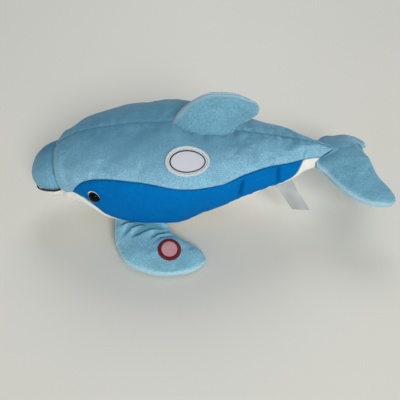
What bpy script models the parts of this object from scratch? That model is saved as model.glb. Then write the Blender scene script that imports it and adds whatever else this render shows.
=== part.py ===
"""Plush dolphin lying on its belly, about 0.4 m long: sewn panels over a stuffed body.

Metres, +Z up. The head points to -X and the tail to +X, so the animal's left side is at -Y.
The origin is in the middle of the flat spot on which the belly rests.

The body is one smooth loft. A point on it is given by x, its place along the body, and an
angle round the section, counted from the middle of the back down the left side. Each sewn
panel is a patch of that loft, so a change to the loft moves every panel with it.
"""

import math

import bmesh
import bpy
import numpy as np
from mathutils import Matrix, Vector
from mathutils.bvhtree import BVHTree

# Cloth, seams and clearances
SKIN = 0.0015
GAP = 0.0003
SEAM_DIP = 0.0009
SEAM_DIP_REACH = 0.0040
STUFFING_SLACK = 0.0011

# Body sections: x, half width, height of the back, of the belly and of the widest line
BODY_SECTIONS = (
    (-0.1380, 0.0240, 0.0745, 0.0370, 0.0490),
    (-0.1200, 0.0280, 0.0800, 0.0330, 0.0510),
    (-0.1060, 0.0330, 0.0850, 0.0310, 0.0550),
    (-0.0900, 0.0415, 0.0965, 0.0275, 0.0640),
    (-0.0700, 0.0520, 0.1090, 0.0200, 0.0730),
    (-0.0450, 0.0635, 0.1150, 0.0010, 0.0770),
    (-0.0100, 0.0720, 0.1195, -0.0050, 0.0810),
    (0.0250, 0.0740, 0.1220, -0.0030, 0.0850),
    (0.0600, 0.0665, 0.1165, 0.0120, 0.0830),
    (0.1000, 0.0535, 0.1090, 0.0330, 0.0770),
    (0.1400, 0.0405, 0.1025, 0.0540, 0.0760),
    (0.1700, 0.0250, 0.0960, 0.0650, 0.0755),
    (0.2050, 0.0155, 0.0850, 0.0675, 0.0760),
)
NOSE_TIP_X = -0.1345
NOSE_ROUND_X = -0.1100
TAIL_APEX_X = 0.2020
TAIL_VEE_SLOPE = 1.4
TAIL_VEE_FROM_X = 0.1500
# Along x, a clearance square to the V's faces is this much longer
TAIL_END_SHIFT = math.hypot(1.0, TAIL_VEE_SLOPE)

# Stations along the body: where each stretch ends, how many it has, and how they crowd
HEAD_END_X = -0.0620
TRUNK_END_X = 0.0840
TAIL_END_X = 0.1480
RISE_END_X = 0.1700
TIP_STATION_ROOM = 0.0015
NOSE_TURNS = (0.26, 0.46, 0.62, 0.76)
LIP_CROWDING = 1.7
STUFFING_COLUMNS = 16
CUTTER_COLUMNS = 56

# Colour fields: x and degrees round the section of the blue band's upper edge, the white
# belly's upper edge and the line of the mouth
BAND_EDGE = (
    (-0.0815, 98), (-0.0730, 85), (-0.0640, 74), (-0.0490, 66), (-0.0320, 64), (-0.0080, 66),
    (0.0320, 78), (0.0560, 82), (0.0750, 79), (0.1000, 66), (0.1350, 55), (0.1705, 56),
)
WHITE_EDGE = (
    (-0.0985, 97), (-0.0815, 98), (-0.0620, 109), (-0.0400, 127), (0.0000, 138), (0.0450, 140),
    (0.0770, 131), (0.0940, 119), (0.1200, 118), (0.1370, 115), (0.1510, 104), (0.1615, 83),
    (0.1705, 56), (0.2020, 52),
)
MOUTH_EDGE = (
    (-0.1275, 180), (-0.1265, 152), (-0.1245, 124), (-0.1190, 102), (-0.1080, 96), (-0.0985, 97),
)
BAND_TIP = 0.0014
BEAK_COLUMNS = 12
BEAK_SEAM_X = -0.0985
BEAK_SEAM_DIP = 0.0026
BEAK_SEAM_REACH = 0.0045
# The seam slants: its top lies further forward than its sides
BEAK_SLANT_TOP = -0.0036
BEAK_SLANT_SIDE = 0.0034
BEAK_SLANT_REACH = 0.0200
MELON_PUFF = 0.0014
MELON_PUFF_X = -0.0910
MELON_PUFF_REACH = 0.0060
BODY_FOLDS = (
    # x, slant in metres a radian, upper and lower degrees, depth, half width
    (0.0960, -0.0060, 62, 116, 0.0012, 0.0050),
    (0.1370, 0.0000, 50, 112, 0.0013, 0.0045),
)

# Dorsal fin: leading edge, trailing edge (x, z), half thickness and lean to the left
FIN_SECTIONS = (
    ((0.0210, 0.1120), (0.0880, 0.1020), 0.0165, 0.0000),
    ((0.0340, 0.1330), (0.0940, 0.1160), 0.0125, 0.0005),
    ((0.0490, 0.1480), (0.1040, 0.1245), 0.0100, 0.0015),
    ((0.0670, 0.1560), (0.1105, 0.1300), 0.0085, 0.0025),
    ((0.0860, 0.1565), (0.1140, 0.1345), 0.0068, 0.0035),
    ((0.1070, 0.1497), (0.1150, 0.1398), 0.0035, 0.0040),
)

# Flipper, left one: front edge, rear edge (x, y), height of the seam and half thickness
FLIPPER_SECTIONS = (
    ((-0.0410, -0.0380), (0.0160, -0.0380), 0.0200, 0.0070),
    ((-0.0400, -0.0580), (0.0190, -0.0490), 0.0150, 0.0085),
    ((-0.0355, -0.0770), (0.0235, -0.0560), 0.0105, 0.0095),
    ((-0.0255, -0.0960), (0.0300, -0.0620), 0.0090, 0.0092),
    ((-0.0080, -0.1070), (0.0375, -0.0670), 0.0085, 0.0088),
    ((0.0150, -0.1120), (0.0455, -0.0725), 0.0080, 0.0082),
    ((0.0380, -0.1095), (0.0535, -0.0775), 0.0075, 0.0070),
    ((0.0535, -0.1030), (0.0595, -0.0825), 0.0065, 0.0050),
    ((0.0600, -0.0965), (0.0620, -0.0885), 0.0060, 0.0028),
)
# Gathers at the root of a flipper: each runs from one (x, y) to another, with its depth
FLIPPER_FOLDS = (
    ((-0.0290, -0.0630), (-0.0020, -0.0460), 0.0028),
    ((-0.0180, -0.0680), (0.0150, -0.0500), 0.0030),
    ((0.0040, -0.0650), (0.0190, -0.0575), 0.0020),
)
FLIPPER_FOLD_REACH = 0.0030
FLIPPER_FLOOR_GAP = 0.0003
# The sound unit in the left flipper tilts the cloth over it away from the body
PRESS_TILT = 0.30
PRESS_TILT_REACH = 0.0170

# Tail flukes, one half: front edge, rear edge (x, y), height of the seam, half thickness
FLUKE_SECTIONS = (
    ((0.2000, 0.0000), (0.2365, 0.0000), 0.0762, 0.0088),
    ((0.1780, 0.0150), (0.2385, 0.0090), 0.0750, 0.0090),
    ((0.1870, 0.0270), (0.2400, 0.0150), 0.0715, 0.0088),
    ((0.1975, 0.0410), (0.2440, 0.0220), 0.0665, 0.0082),
    ((0.2120, 0.0530), (0.2505, 0.0310), 0.0610, 0.0076),
    ((0.2320, 0.0600), (0.2565, 0.0400), 0.0560, 0.0068),
    ((0.2490, 0.0600), (0.2600, 0.0470), 0.0530, 0.0050),
    ((0.2570, 0.0555), (0.2605, 0.0515), 0.0520, 0.0025),
)
FLUKE_TURN = math.radians(4.0)
FLUKE_ROOT_HALF_WIDTH = 0.0175
# The right lobe hangs lower at its tip
FLUKE_DROOP = 0.0110

# Eyes
EYE_X = -0.0512
EYE_ANGLE = math.radians(92)
EYE_RADIUS = 0.0062
EYE_HEIGHT = 0.0050
EYE_RIM = 0.0008
EYE_STEM_RADIUS = 0.0020
EYE_STEM_PAST_WASHER = 0.0020
EYE_WHITE_RADIUS = 0.0068
EYE_WHITE_THICKNESS = 0.0008
EYE_WHITE_FORWARD = 0.0012
WASHER_RADIUS = 0.0060
WASHER_THICKNESS = 0.0016
WASHER_CLEARANCE = 0.0009
STEM_CLEARANCE = 0.0003
POCKET_TURN = math.radians(8)
CUTTER_TOP = 0.0100
CUTTER_BOTTOM = -0.0200

# Oval patch on the left side: place, size along the body and round it
PATCH_X = 0.0428
PATCH_ANGLE = math.radians(45)
PATCH_LENGTH = 0.0435
PATCH_WIDTH = 0.0320
PATCH_THICKNESS = 0.0010
PATCH_BORDER_RADIUS = 0.0014
PATCH_RING_INSET = 0.0042
PATCH_RING_BAND = 0.0013
PATCH_RING_THICKNESS = 0.0005

# Round press patch on the left flipper, and the sound puck in its pocket below
PRESS_X = 0.0225
PRESS_Y = -0.0850
PRESS_RADIUS = 0.0125
PRESS_RING_BAND = 0.0034
PRESS_THICKNESS = 0.0010
PUCK_RADIUS = 0.0100
PUCK_THICKNESS = 0.0070
PUCK_CLEARANCE = 0.0003
PUCK_ROUNDING = 0.0008

MOUTH_LINE_RADIUS = 0.0007
MOUTH_LINE_END_X = -0.0960

# Care label: folded ribbon, sewn to the belly under the left band
LABEL_X = 0.1440
LABEL_ANGLE = math.radians(132)
LABEL_WIDTH = 0.0190
LABEL_DROP = 0.0360
LABEL_THICKNESS = 0.0003
LABEL_OPEN = 0.0010
LABEL_DIRECTION = (0.56, -0.46, -0.69)
LABEL_SAG = 0.0035
LABEL_TWIST = 0.25

COLOURS = {
    # colour, roughness, metallic
    "light_blue_plush": ((0.17, 0.39, 0.53), 0.90, 0.0),
    "bright_blue_plush": ((0.005, 0.16, 0.50), 0.90, 0.0),
    "white_plush": ((0.78, 0.76, 0.68), 0.90, 0.0),
    "stuffing": ((0.85, 0.85, 0.82), 0.95, 0.0),
    "black_thread": ((0.01, 0.01, 0.012), 0.60, 0.0),
    "eye_black": ((0.005, 0.005, 0.006), 0.12, 0.0),
    "felt_white": ((0.80, 0.80, 0.77), 0.90, 0.0),
    "patch_white": ((0.74, 0.75, 0.80), 0.85, 0.0),
    "patch_rim": ((0.55, 0.66, 0.66), 0.80, 0.0),
    "navy_thread": ((0.02, 0.03, 0.10), 0.60, 0.0),
    "red_thread": ((0.20, 0.004, 0.008), 0.60, 0.0),
    "washer_plastic": ((0.80, 0.80, 0.80), 0.40, 0.0),
    "puck_plastic": ((0.03, 0.03, 0.03), 0.45, 0.0),
    "label_satin": ((0.75, 0.77, 0.77), 0.45, 0.0),
}

LEFT = 1
RIGHT = -1


def clear_scene():
    for obj in list(bpy.data.objects):
        bpy.data.objects.remove(obj, do_unlink=True)


def material(name):
    found = bpy.data.materials.get(name)
    if found:
        return found
    colour, roughness, metallic = COLOURS[name]
    made = bpy.data.materials.new(name)
    made.use_nodes = True
    shader = made.node_tree.nodes["Principled BSDF"]
    shader.inputs["Base Color"].default_value = (*colour, 1.0)
    shader.inputs["Roughness"].default_value = roughness
    shader.inputs["Metallic"].default_value = metallic
    made.diffuse_color = (*colour, 1.0)
    return made


def smooth_value(x, knots, values):
    """Monotone cubic curve through the knots: no overshoot between them."""
    steps = np.diff(knots)
    slopes = np.diff(values) / steps
    tangents = np.array([slopes[0], *np.zeros(len(steps) - 1), slopes[-1]])
    for i in range(1, len(steps)):
        if slopes[i - 1] * slopes[i] > 0:
            before = 2 * steps[i] + steps[i - 1]
            after = steps[i] + 2 * steps[i - 1]
            tangents[i] = (before + after) / (before / slopes[i - 1] + after / slopes[i])
    x = min(max(x, knots[0]), knots[-1])
    i = min(max(int(np.searchsorted(knots, x)) - 1, 0), len(steps) - 1)
    t = (x - knots[i]) / steps[i]
    return float(
        (1 + 2 * t) * (1 - t) ** 2 * values[i]
        + t * (1 - t) ** 2 * steps[i] * tangents[i]
        + t * t * (3 - 2 * t) * values[i + 1]
        + t * t * (t - 1) * steps[i] * tangents[i + 1]
    )


def along(table, x):
    """The value at x of a table of (x, value) pairs."""
    knots, values = np.array(table, float).T
    return smooth_value(x, knots, values)


def bell(distance, reach):
    return math.exp(-((distance / reach) ** 2))


def body_section(x):
    """Half width, back height, belly height and widest height at x."""
    columns = np.array(BODY_SECTIONS).T
    width, back, belly, middle = (smooth_value(x, columns[0], c) for c in columns[1:])
    dip = BEAK_SEAM_DIP * bell(x - BEAK_SEAM_X, BEAK_SEAM_REACH)
    puff = MELON_PUFF * bell(x - MELON_PUFF_X, MELON_PUFF_REACH)
    width, back, belly = width - dip + puff, back - dip + puff, belly + dip - puff
    if x < NOSE_ROUND_X:
        run = min((NOSE_ROUND_X - x) / (NOSE_ROUND_X - NOSE_TIP_X), 1.0)
        scale = math.sqrt(1.0 - run * run)
        width, back, belly = (
            width * scale,
            middle + (back - middle) * scale,
            middle + (belly - middle) * scale,
        )
    return width, back, belly, middle


def fold_depth(x, angle):
    depth = 0.0
    side = math.degrees(abs(angle))
    for at, slant, upper, lower, deep, reach in BODY_FOLDS:
        middle = math.radians((upper + lower) / 2)
        across = x - at - slant * (abs(angle) - middle)
        inside = min(max((side - upper) / 14, 0), 1) * min(max((lower - side) / 14, 0), 1)
        depth += deep * inside * bell(across, reach)
    return depth


def raw_point(x, angle):
    """The loft before it is pressed flat on the floor. A negative angle is the right side."""
    width, back, belly, middle = body_section(x)
    rise = back - middle if math.cos(angle) > 0 else middle - belly
    y = -width * math.sin(angle)
    z = middle + rise * math.cos(angle)
    vee = min(max((x - TAIL_VEE_FROM_X) / (TAIL_APEX_X - TAIL_VEE_FROM_X), 0.0), 1.0)
    slant = BEAK_SLANT_SIDE + (BEAK_SLANT_TOP - BEAK_SLANT_SIDE) * max(math.cos(angle), 0.0)
    slant *= bell(x - BEAK_SEAM_X, BEAK_SLANT_REACH)
    return Vector((x + slant - TAIL_VEE_SLOPE * abs(y) * vee * vee, y, max(z, 0.0)))


def normal_at(x, angle):
    """Outward direction of the loft."""
    dx, da = 0.0004, math.radians(0.8)
    x = max(x, NOSE_TIP_X + 2 * dx)
    forward = raw_point(x + dx, angle) - raw_point(x - dx, angle)
    around = raw_point(x, angle + da) - raw_point(x, angle - da)
    return forward.cross(around).normalized() * -1.0


def body_point(x, angle, lift=0.0):
    """A point on the cloth's outer face, with its seams' dips and its folds, plus lift."""
    if x <= NOSE_TIP_X:
        return raw_point(x, angle) - Vector((lift, 0.0, 0.0))
    return raw_point(x, angle) + normal_at(x, angle) * (lift - fold_depth(x, angle))


def arc_rate(x, angle):
    """Metres round the section for a radian."""
    step = math.radians(1.0)
    return (raw_point(x, angle + step) - raw_point(x, angle - step)).length / (2 * step)


def white_edge(x):
    """Angle of the upper edge of the white belly and jaw."""
    table = MOUTH_EDGE if x < BEAK_SEAM_X else WHITE_EDGE
    return math.radians(along(table, x))


def band_edge(x):
    """Angle of the upper edge of the blue band. Past its points it is the white's edge."""
    if BAND_EDGE[0][0] <= x <= BAND_EDGE[-1][0]:
        return math.radians(along(BAND_EDGE, x))
    return white_edge(x)


def new_object(name, mesh_builder, material_name, collection):
    mesh = bpy.data.meshes.new(name)
    mesh_builder.to_mesh(mesh)
    mesh_builder.free()
    mesh.materials.append(material(material_name))
    made = bpy.data.objects.new(name, mesh)
    collection.objects.link(made)
    mesh.shade_smooth()
    return made


def add_solidify(obj, thickness):
    solidify = obj.modifiers.new("thickness", "SOLIDIFY")
    solidify.thickness = thickness
    solidify.offset = -1.0
    solidify.use_even_offset = True
    return solidify


def cut_with(obj, cutter, name="cut"):
    cut = obj.modifiers.new(name, "BOOLEAN")
    cut.operation = "DIFFERENCE"
    cut.object = cutter


def grid_surface(rows, pole=None):
    """An open surface through rows of points. A pole closes the first row to one point."""
    built = bmesh.new()
    lines = [[built.verts.new(point) for point in row] for row in rows]
    for first, second in zip(lines, lines[1:]):
        for i in range(len(first) - 1):
            built.faces.new((first[i], first[i + 1], second[i + 1], second[i]))
    if pole is not None:
        tip = built.verts.new(pole)
        for i in range(len(lines[0]) - 1):
            built.faces.new((tip, lines[0][i + 1], lines[0][i]))
    return built


def seam_point(x, angle, edges, lift=0.0):
    """A point of a panel, dipped where it comes near one of its edges."""
    rate = arc_rate(x, angle)
    dip = sum(bell((angle - edge) * rate, SEAM_DIP_REACH) for edge in edges)
    return body_point(x, angle, lift - SEAM_DIP * min(dip, 1.0))


def seam_inset(x, edge, inward):
    """Angle by which a panel stops short of its seam, so that the inner faces of the two
    cloths keep their gap where the body is round. inward is half a column of the panel."""
    probe = math.copysign(math.radians(1.0), inward)
    outward = (raw_point(x, edge - probe) - raw_point(x, edge + probe)).normalized()
    lean = -normal_at(x, edge + inward).dot(outward)
    return (GAP / 2 + SKIN * max(lean, 0.0)) / arc_rate(x, edge)


def panel(name, material_name, collection, stations, low_edge, high_edge, columns, side):
    """A sewn panel between two edges, each a function of x that gives an angle."""
    rows = []
    for x in stations:
        low, high = low_edge(x), high_edge(x)
        half_column = (high - low) / columns / 2
        inset_low = seam_inset(x, low, half_column)
        inset_high = seam_inset(x, high, -half_column)
        angles = np.linspace(low + inset_low, high - inset_high, columns + 1)
        rows.append([seam_point(x, side * a, (side * low, side * high)) for a in angles])
    if side == RIGHT:
        rows = [row[::-1] for row in rows]
    made = new_object(name, grid_surface(rows), material_name, collection)
    add_solidify(made, SKIN)
    return made


def spread(start, end, count, crowd=1.0):
    """Count + 1 stations from start to end, crowded at the start where crowd is over 1."""
    return [start + (end - start) * (i / count) ** crowd for i in range(count + 1)]


def nose_stations():
    """Stations on the round of the nose, evenly turned round it."""
    round_length = NOSE_ROUND_X - NOSE_TIP_X
    return [NOSE_TIP_X + round_length * (1 - math.cos(t)) for t in NOSE_TURNS]


def lip_stations():
    """Stations from the front of the mouth to the beak's seam."""
    return spread(MOUTH_EDGE[0][0] + GAP, BEAK_SEAM_X, 8, LIP_CROWDING)


def body_stations():
    """Stations from the beak's seam to the tail, closer at the seam and at the folds."""
    head = spread(BEAK_SEAM_X + GAP / 2, HEAD_END_X, 5, 1.25)
    trunk = spread(HEAD_END_X, TRUNK_END_X, 8)[1:]
    tail = spread(TRUNK_END_X, TAIL_END_X, 6)[1:]
    rise = spread(TAIL_END_X, RISE_END_X, 6)[1:]
    end = spread(RISE_END_X, TAIL_APEX_X, 3)[1:]
    stations = head + trunk + tail + rise + end
    tips = band_tips()
    clear = [x for x in stations if min(abs(x - tip) for tip in tips) > TIP_STATION_ROOM]
    return sorted(clear + tips)


def band_tips():
    """Where the two points of the blue band end: all panels have a station there."""
    return [BAND_EDGE[0][0] + BAND_TIP, BAND_EDGE[-1][0] - BAND_TIP]


def back_panels(collection):
    for name, side in (("back_panel_left", LEFT), ("back_panel_right", RIGHT)):
        panel(
            name, "light_blue_plush", collection, body_stations(),
            lambda x: 0.0, band_edge, 6, side,
        )


def side_bands(collection):
    start, end = band_tips()
    stations = [x for x in body_stations() if start <= x <= end]
    made = {}
    for name, side in (("side_band_left", LEFT), ("side_band_right", RIGHT)):
        made[side] = panel(
            name, "bright_blue_plush", collection, stations, band_edge, white_edge, 4, side
        )
    return made


def belly_panel(collection):
    """White lower jaw and belly in one piece, from the chin to the tail."""
    stations = lip_stations()[:-1] + body_stations()
    panel(
        "belly_panel", "white_plush", collection, stations,
        white_edge, lambda x: 2 * math.pi - white_edge(x), 10, LEFT,
    )


def beak_cover(collection):
    """Upper beak: round the nose and down to the line of the mouth on both sides."""
    rows = []
    for x in nose_stations() + lip_stations()[:-1] + [BEAK_SEAM_X - GAP / 2]:
        low = math.pi if x < MOUTH_EDGE[0][0] else white_edge(x)
        low -= seam_inset(x, low, -low / BEAK_COLUMNS)
        angles = np.linspace(-low, low, BEAK_COLUMNS + 1)
        rows.append([seam_point(x, a, (low, -low)) for a in angles])
    pole = body_point(NOSE_TIP_X, 0.0)
    made = new_object("beak_cover", grid_surface(rows, pole), "light_blue_plush", collection)
    add_solidify(made, SKIN)
    return made


def closed_body(name, lift, collection, columns):
    """The whole loft as one closed solid, moved out by lift, with its V-shaped tail end."""
    stations = nose_stations() + lip_stations()[:-1] + body_stations()
    built = bmesh.new()
    turns = [2 * math.pi * i / columns for i in range(columns)]
    shift = Vector((lift, 0.0, 0.0))
    rings = []
    for x in stations:
        points = [body_point(x, a, lift) for a in turns]
        if x == stations[-1]:
            points = [p + shift * TAIL_END_SHIFT for p in points]
        rings.append([built.verts.new(p) for p in points])
    for first, second in zip(rings, rings[1:]):
        for i in range(columns):
            j = (i + 1) % columns
            built.faces.new((first[i], second[i], second[j], first[j]))
    pole = built.verts.new(body_point(NOSE_TIP_X, 0.0, lift))
    for i in range(columns):
        built.faces.new((pole, rings[0][i], rings[0][(i + 1) % columns]))
    close_tail(built, rings[-1])
    bmesh.ops.recalc_face_normals(built, faces=built.faces[:])
    return new_object(name, built, "stuffing", collection)


def close_tail(built, ring):
    """Two flat faces that meet in an upright edge, so that the tail end is a V. The edge
    never runs past the top or the bottom of the ring."""
    half = len(ring) // 2
    top, bottom = ring[0], ring[half]
    spine = [top]
    for i in range(1, half):
        height = ring[i].co.z
        if height >= top.co.z:
            spine.append(top)
        elif height <= bottom.co.z:
            spine.append(bottom)
        else:
            spine.append(built.verts.new(Vector((top.co.x, 0.0, height))))
    spine.append(bottom)
    for i in range(half):
        left, left_next = ring[i], ring[i + 1]
        right, right_next = ring[-i % len(ring)], ring[-(i + 1) % len(ring)]
        for face in (
            (left, spine[i], spine[i + 1], left_next),
            (spine[i], right, right_next, spine[i + 1]),
        ):
            corners = list(dict.fromkeys(face))
            if len(corners) > 2:
                built.faces.new(corners)


def pillow(spans, columns, place):
    """A stuffed form between two sewn edges: rings of points from one edge over the upper
    face to the other edge and back below. place(t, c, s) gives the point at span t, chord c
    and thickness s, which runs from -1 below to 1 above."""
    built = bmesh.new()
    rings = []
    for t in spans:
        chords = [(1 - math.cos(math.pi * i / columns)) / 2 for i in range(columns + 1)]
        upper = [place(t, c, 1) for c in chords]
        lower = [place(t, c, -1) for c in chords[::-1]]
        rings.append([built.verts.new(p) for p in upper + lower])
    count = len(rings[0])
    for first, second in zip(rings, rings[1:]):
        for i in range(count):
            j = (i + 1) % count
            built.faces.new((first[i], first[j], second[j], second[i]))
    for ring in (rings[0], rings[-1]):
        for i in range(columns):
            built.faces.new((ring[i], ring[i + 1], ring[count - 2 - i], ring[count - 1 - i]))
    bmesh.ops.recalc_face_normals(built, faces=built.faces[:])
    return built


def table_value(sections, t, pick):
    knots = np.linspace(0.0, 1.0, len(sections))
    return smooth_value(t, knots, np.array([pick(s) for s in sections], float))


def plump(c, edge=0.09):
    """Stuffed profile across a chord: full in the middle, pulled in at the sewn edges."""
    round_part = (1 - abs(2 * c - 1) ** 2.4) ** 0.55
    return edge + (1 - edge) * round_part


def fin_place(t, c, s):
    lead = [table_value(FIN_SECTIONS, t, lambda q, k=k: q[0][k]) for k in (0, 1)]
    trail = [table_value(FIN_SECTIONS, t, lambda q, k=k: q[1][k]) for k in (0, 1)]
    thick = table_value(FIN_SECTIONS, t, lambda q: q[2])
    lean = table_value(FIN_SECTIONS, t, lambda q: q[3])
    x, z = (a + (b - a) * c for a, b in zip(lead, trail))
    return Vector((x, -lean - s * thick * plump(c), z))


def flipper_fold(x, y):
    depth = 0.0
    for start, end, deep in FLIPPER_FOLDS:
        a, b, p = Vector(start), Vector(end), Vector((x, y))
        share = min(max((p - a).dot(b - a) / (b - a).length_squared, 0.0), 1.0)
        depth += deep * bell((p - a - (b - a) * share).length, FLIPPER_FOLD_REACH)
    return depth


def flipper_place(side):
    def place(t, c, s):
        lead = [table_value(FLIPPER_SECTIONS, t, lambda q, k=k: q[0][k]) for k in (0, 1)]
        trail = [table_value(FLIPPER_SECTIONS, t, lambda q, k=k: q[1][k]) for k in (0, 1)]
        seam = table_value(FLIPPER_SECTIONS, t, lambda q: q[2])
        thick = table_value(FLIPPER_SECTIONS, t, lambda q: q[3])
        x, y = (a + (b - a) * c for a, b in zip(lead, trail))
        z = seam + s * thick * plump(c)
        if s > 0:
            z -= flipper_fold(x, y)
        if s > 0 and side == LEFT:
            far = math.hypot(x - PRESS_X, y - PRESS_Y)
            z += PRESS_TILT * (y - PRESS_Y) * bell(far, PRESS_TILT_REACH)
        return Vector((x, y * side, max(z, FLIPPER_FLOOR_GAP)))

    return place


def fluke_place(t, c, s):
    """t runs from -1 at the left tip to 1 at the right tip."""
    u = abs(t)
    lead = [table_value(FLUKE_SECTIONS, u, lambda q, k=k: q[0][k]) for k in (0, 1)]
    trail = [table_value(FLUKE_SECTIONS, u, lambda q, k=k: q[1][k]) for k in (0, 1)]
    seam = table_value(FLUKE_SECTIONS, u, lambda q: q[2])
    thick = table_value(FLUKE_SECTIONS, u, lambda q: q[3])
    x, y = (a + (b - a) * c for a, b in zip(lead, trail))
    across = min(y / FLUKE_ROOT_HALF_WIDTH, 1.0)
    root = thick * (1 - c) * math.sqrt(1 - across**2)
    height = max(thick * plump(c), root)
    y = math.copysign(y, t) if t else 0.0
    point = Vector((x, y, seam + s * height - FLUKE_DROOP * max(t, 0.0) ** 2))
    hinge = Vector((TAIL_APEX_X, 0.0, point.z))
    return hinge + Matrix.Rotation(FLUKE_TURN, 3, "Z") @ (point - hinge)


def dorsal_fin(collection, body_cutter):
    spans = spread(0.0, 1.0, 9)
    form = pillow(spans, 9, fin_place)
    made = new_object("dorsal_fin", form, "light_blue_plush", collection)
    cut_with(made, body_cutter)
    return made


def flippers(collection, body_cutter):
    spans = spread(0.0, 0.45, 7) + spread(0.45, 1.0, 5)[1:]
    made = {}
    for name, side in (("flipper_left", LEFT), ("flipper_right", RIGHT)):
        form = pillow(spans, 11, flipper_place(side))
        made[side] = new_object(name, form, "light_blue_plush", collection)
        cut_with(made[side], body_cutter)
    return made


def tail_flukes(collection, body_cutter):
    half = spread(0.0, 1.0, 9)
    spans = [-t for t in half[:0:-1]] + half
    form = pillow(spans, 8, fluke_place)
    made = new_object("tail_flukes", form, "light_blue_plush", collection)
    cut_with(made, body_cutter)
    return made


def surface_frame(x, angle, lift=0.0):
    """Matrix with its Z along the cloth's outward direction and its X along the body."""
    out = normal_at(x, angle)
    ahead = (raw_point(x + 0.001, angle) - raw_point(x - 0.001, angle)).normalized()
    across = out.cross(ahead).normalized()
    ahead = across.cross(out)
    place = Matrix((ahead, across, out)).transposed().to_4x4()
    place.translation = body_point(x, angle, lift)
    return place


def cylinder(name, radius, low, high, place, material_name, collection, segments=24):
    """A cylinder from low to high on the Z axis of place."""
    built = bmesh.new()
    bmesh.ops.create_cone(
        built, cap_ends=True, segments=segments, radius1=radius, radius2=radius, depth=high - low,
        matrix=place @ Matrix.Translation((0, 0, (low + high) / 2)),
    )
    return new_object(name, built, material_name, collection)


def hide_cutter(obj):
    obj.hide_render = True
    obj.display_type = "WIRE"


def turned(name, profile, place, material_name, collection, steps=16):
    """A turned piece: the profile, of (radius, height) pairs from its top to its bottom."""
    built = bmesh.new()
    points = [built.verts.new((radius, 0.0, height)) for radius, height in profile]
    for a, b in zip(points, points[1:]):
        built.edges.new((a, b))
    made = new_object(name, built, material_name, collection)
    screw = made.modifiers.new("turn", "SCREW")
    screw.steps = steps
    screw.render_steps = steps
    screw.use_merge_vertices = True
    screw.merge_threshold = 0.00001
    screw.use_smooth_shade = True
    made.matrix_world = place
    return made


def inner_drop(x, angle, radius):
    """Depth under the outer face at which a flat disc clears the cloth's round inner face."""
    away = surface_frame(x, angle).inverted()
    rate = arc_rate(x, angle)
    rim = []
    for turn in np.linspace(0.0, 2 * math.pi, 16, endpoint=False):
        ahead, around = radius * math.cos(turn), radius * math.sin(turn) / rate
        rim.append(body_point(x + ahead, angle + around, -SKIN))
    return max(-(away @ point).z for point in rim)


def eye(side, name_side, band, collection, cutters, stuffing):
    """A glossy button on a stem through the cloth, held by a washer on the inside."""
    angle = side * EYE_ANGLE
    eye_place = surface_frame(EYE_X, angle)
    eye_bottom = GAP + EYE_WHITE_THICKNESS + GAP
    washer_top = -inner_drop(EYE_X, angle, WASHER_RADIUS) - WASHER_CLEARANCE
    stem_end = washer_top - WASHER_THICKNESS - EYE_STEM_PAST_WASHER
    dome = [
        (EYE_RADIUS * math.sin(a), eye_bottom + EYE_RIM + (EYE_HEIGHT - EYE_RIM) * math.cos(a))
        for a in np.linspace(0.0, math.pi / 2, 5)
    ]
    profile = [
        *dome,
        (EYE_RADIUS, eye_bottom),
        (EYE_STEM_RADIUS, eye_bottom),
        (EYE_STEM_RADIUS, stem_end),
        (0.0, stem_end),
    ]
    turned(f"eye_{name_side}", profile, eye_place, "eye_black", collection)

    hole = EYE_STEM_RADIUS + STEM_CLEARANCE
    bore = cylinder(
        f"cut_eye_bore_{name_side}", hole, CUTTER_BOTTOM, CUTTER_TOP,
        eye_place, "stuffing", cutters, 12,
    )
    hide_cutter(bore)
    cut_with(band, bore, "stem hole")

    forward = Matrix.Translation((-EYE_WHITE_FORWARD, 0, 0))
    white = cylinder(
        f"eye_white_{name_side}", EYE_WHITE_RADIUS, GAP, GAP + EYE_WHITE_THICKNESS,
        eye_place @ forward, "felt_white", collection, 20,
    )
    cut_with(white, bore, "stem hole")

    washer = cylinder(
        f"eye_washer_{name_side}", WASHER_RADIUS, washer_top - WASHER_THICKNESS, washer_top,
        eye_place, "washer_plastic", collection, 16,
    )
    cut_with(washer, bore, "stem hole")

    pocket_radius = WASHER_RADIUS + STEM_CLEARANCE
    pocket = cylinder(
        f"cut_eye_pocket_{name_side}", pocket_radius, washer_top - WASHER_THICKNESS - GAP,
        CUTTER_TOP, eye_place @ Matrix.Rotation(POCKET_TURN, 4, "Z"), "stuffing", cutters, 16,
    )
    hide_cutter(pocket)
    cut_with(stuffing, pocket, f"washer pocket {name_side}")
    stem_room = cylinder(
        f"cut_eye_stem_{name_side}", hole, stem_end - GAP, CUTTER_TOP,
        eye_place, "stuffing", cutters, 12,
    )
    hide_cutter(stem_room)
    cut_with(stuffing, stem_room, f"stem room {name_side}")


def oval_on_body(length, width, lift, steps):
    """Points of an oval on the left side, level with the body."""
    rate = arc_rate(PATCH_X, PATCH_ANGLE)
    points = []
    for i in range(steps):
        turn = 2 * math.pi * i / steps
        ahead = math.cos(turn) * length / 2
        around = math.sin(turn) * width / 2 / rate
        points.append(body_point(PATCH_X + ahead, PATCH_ANGLE - around, lift))
    return points


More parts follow.
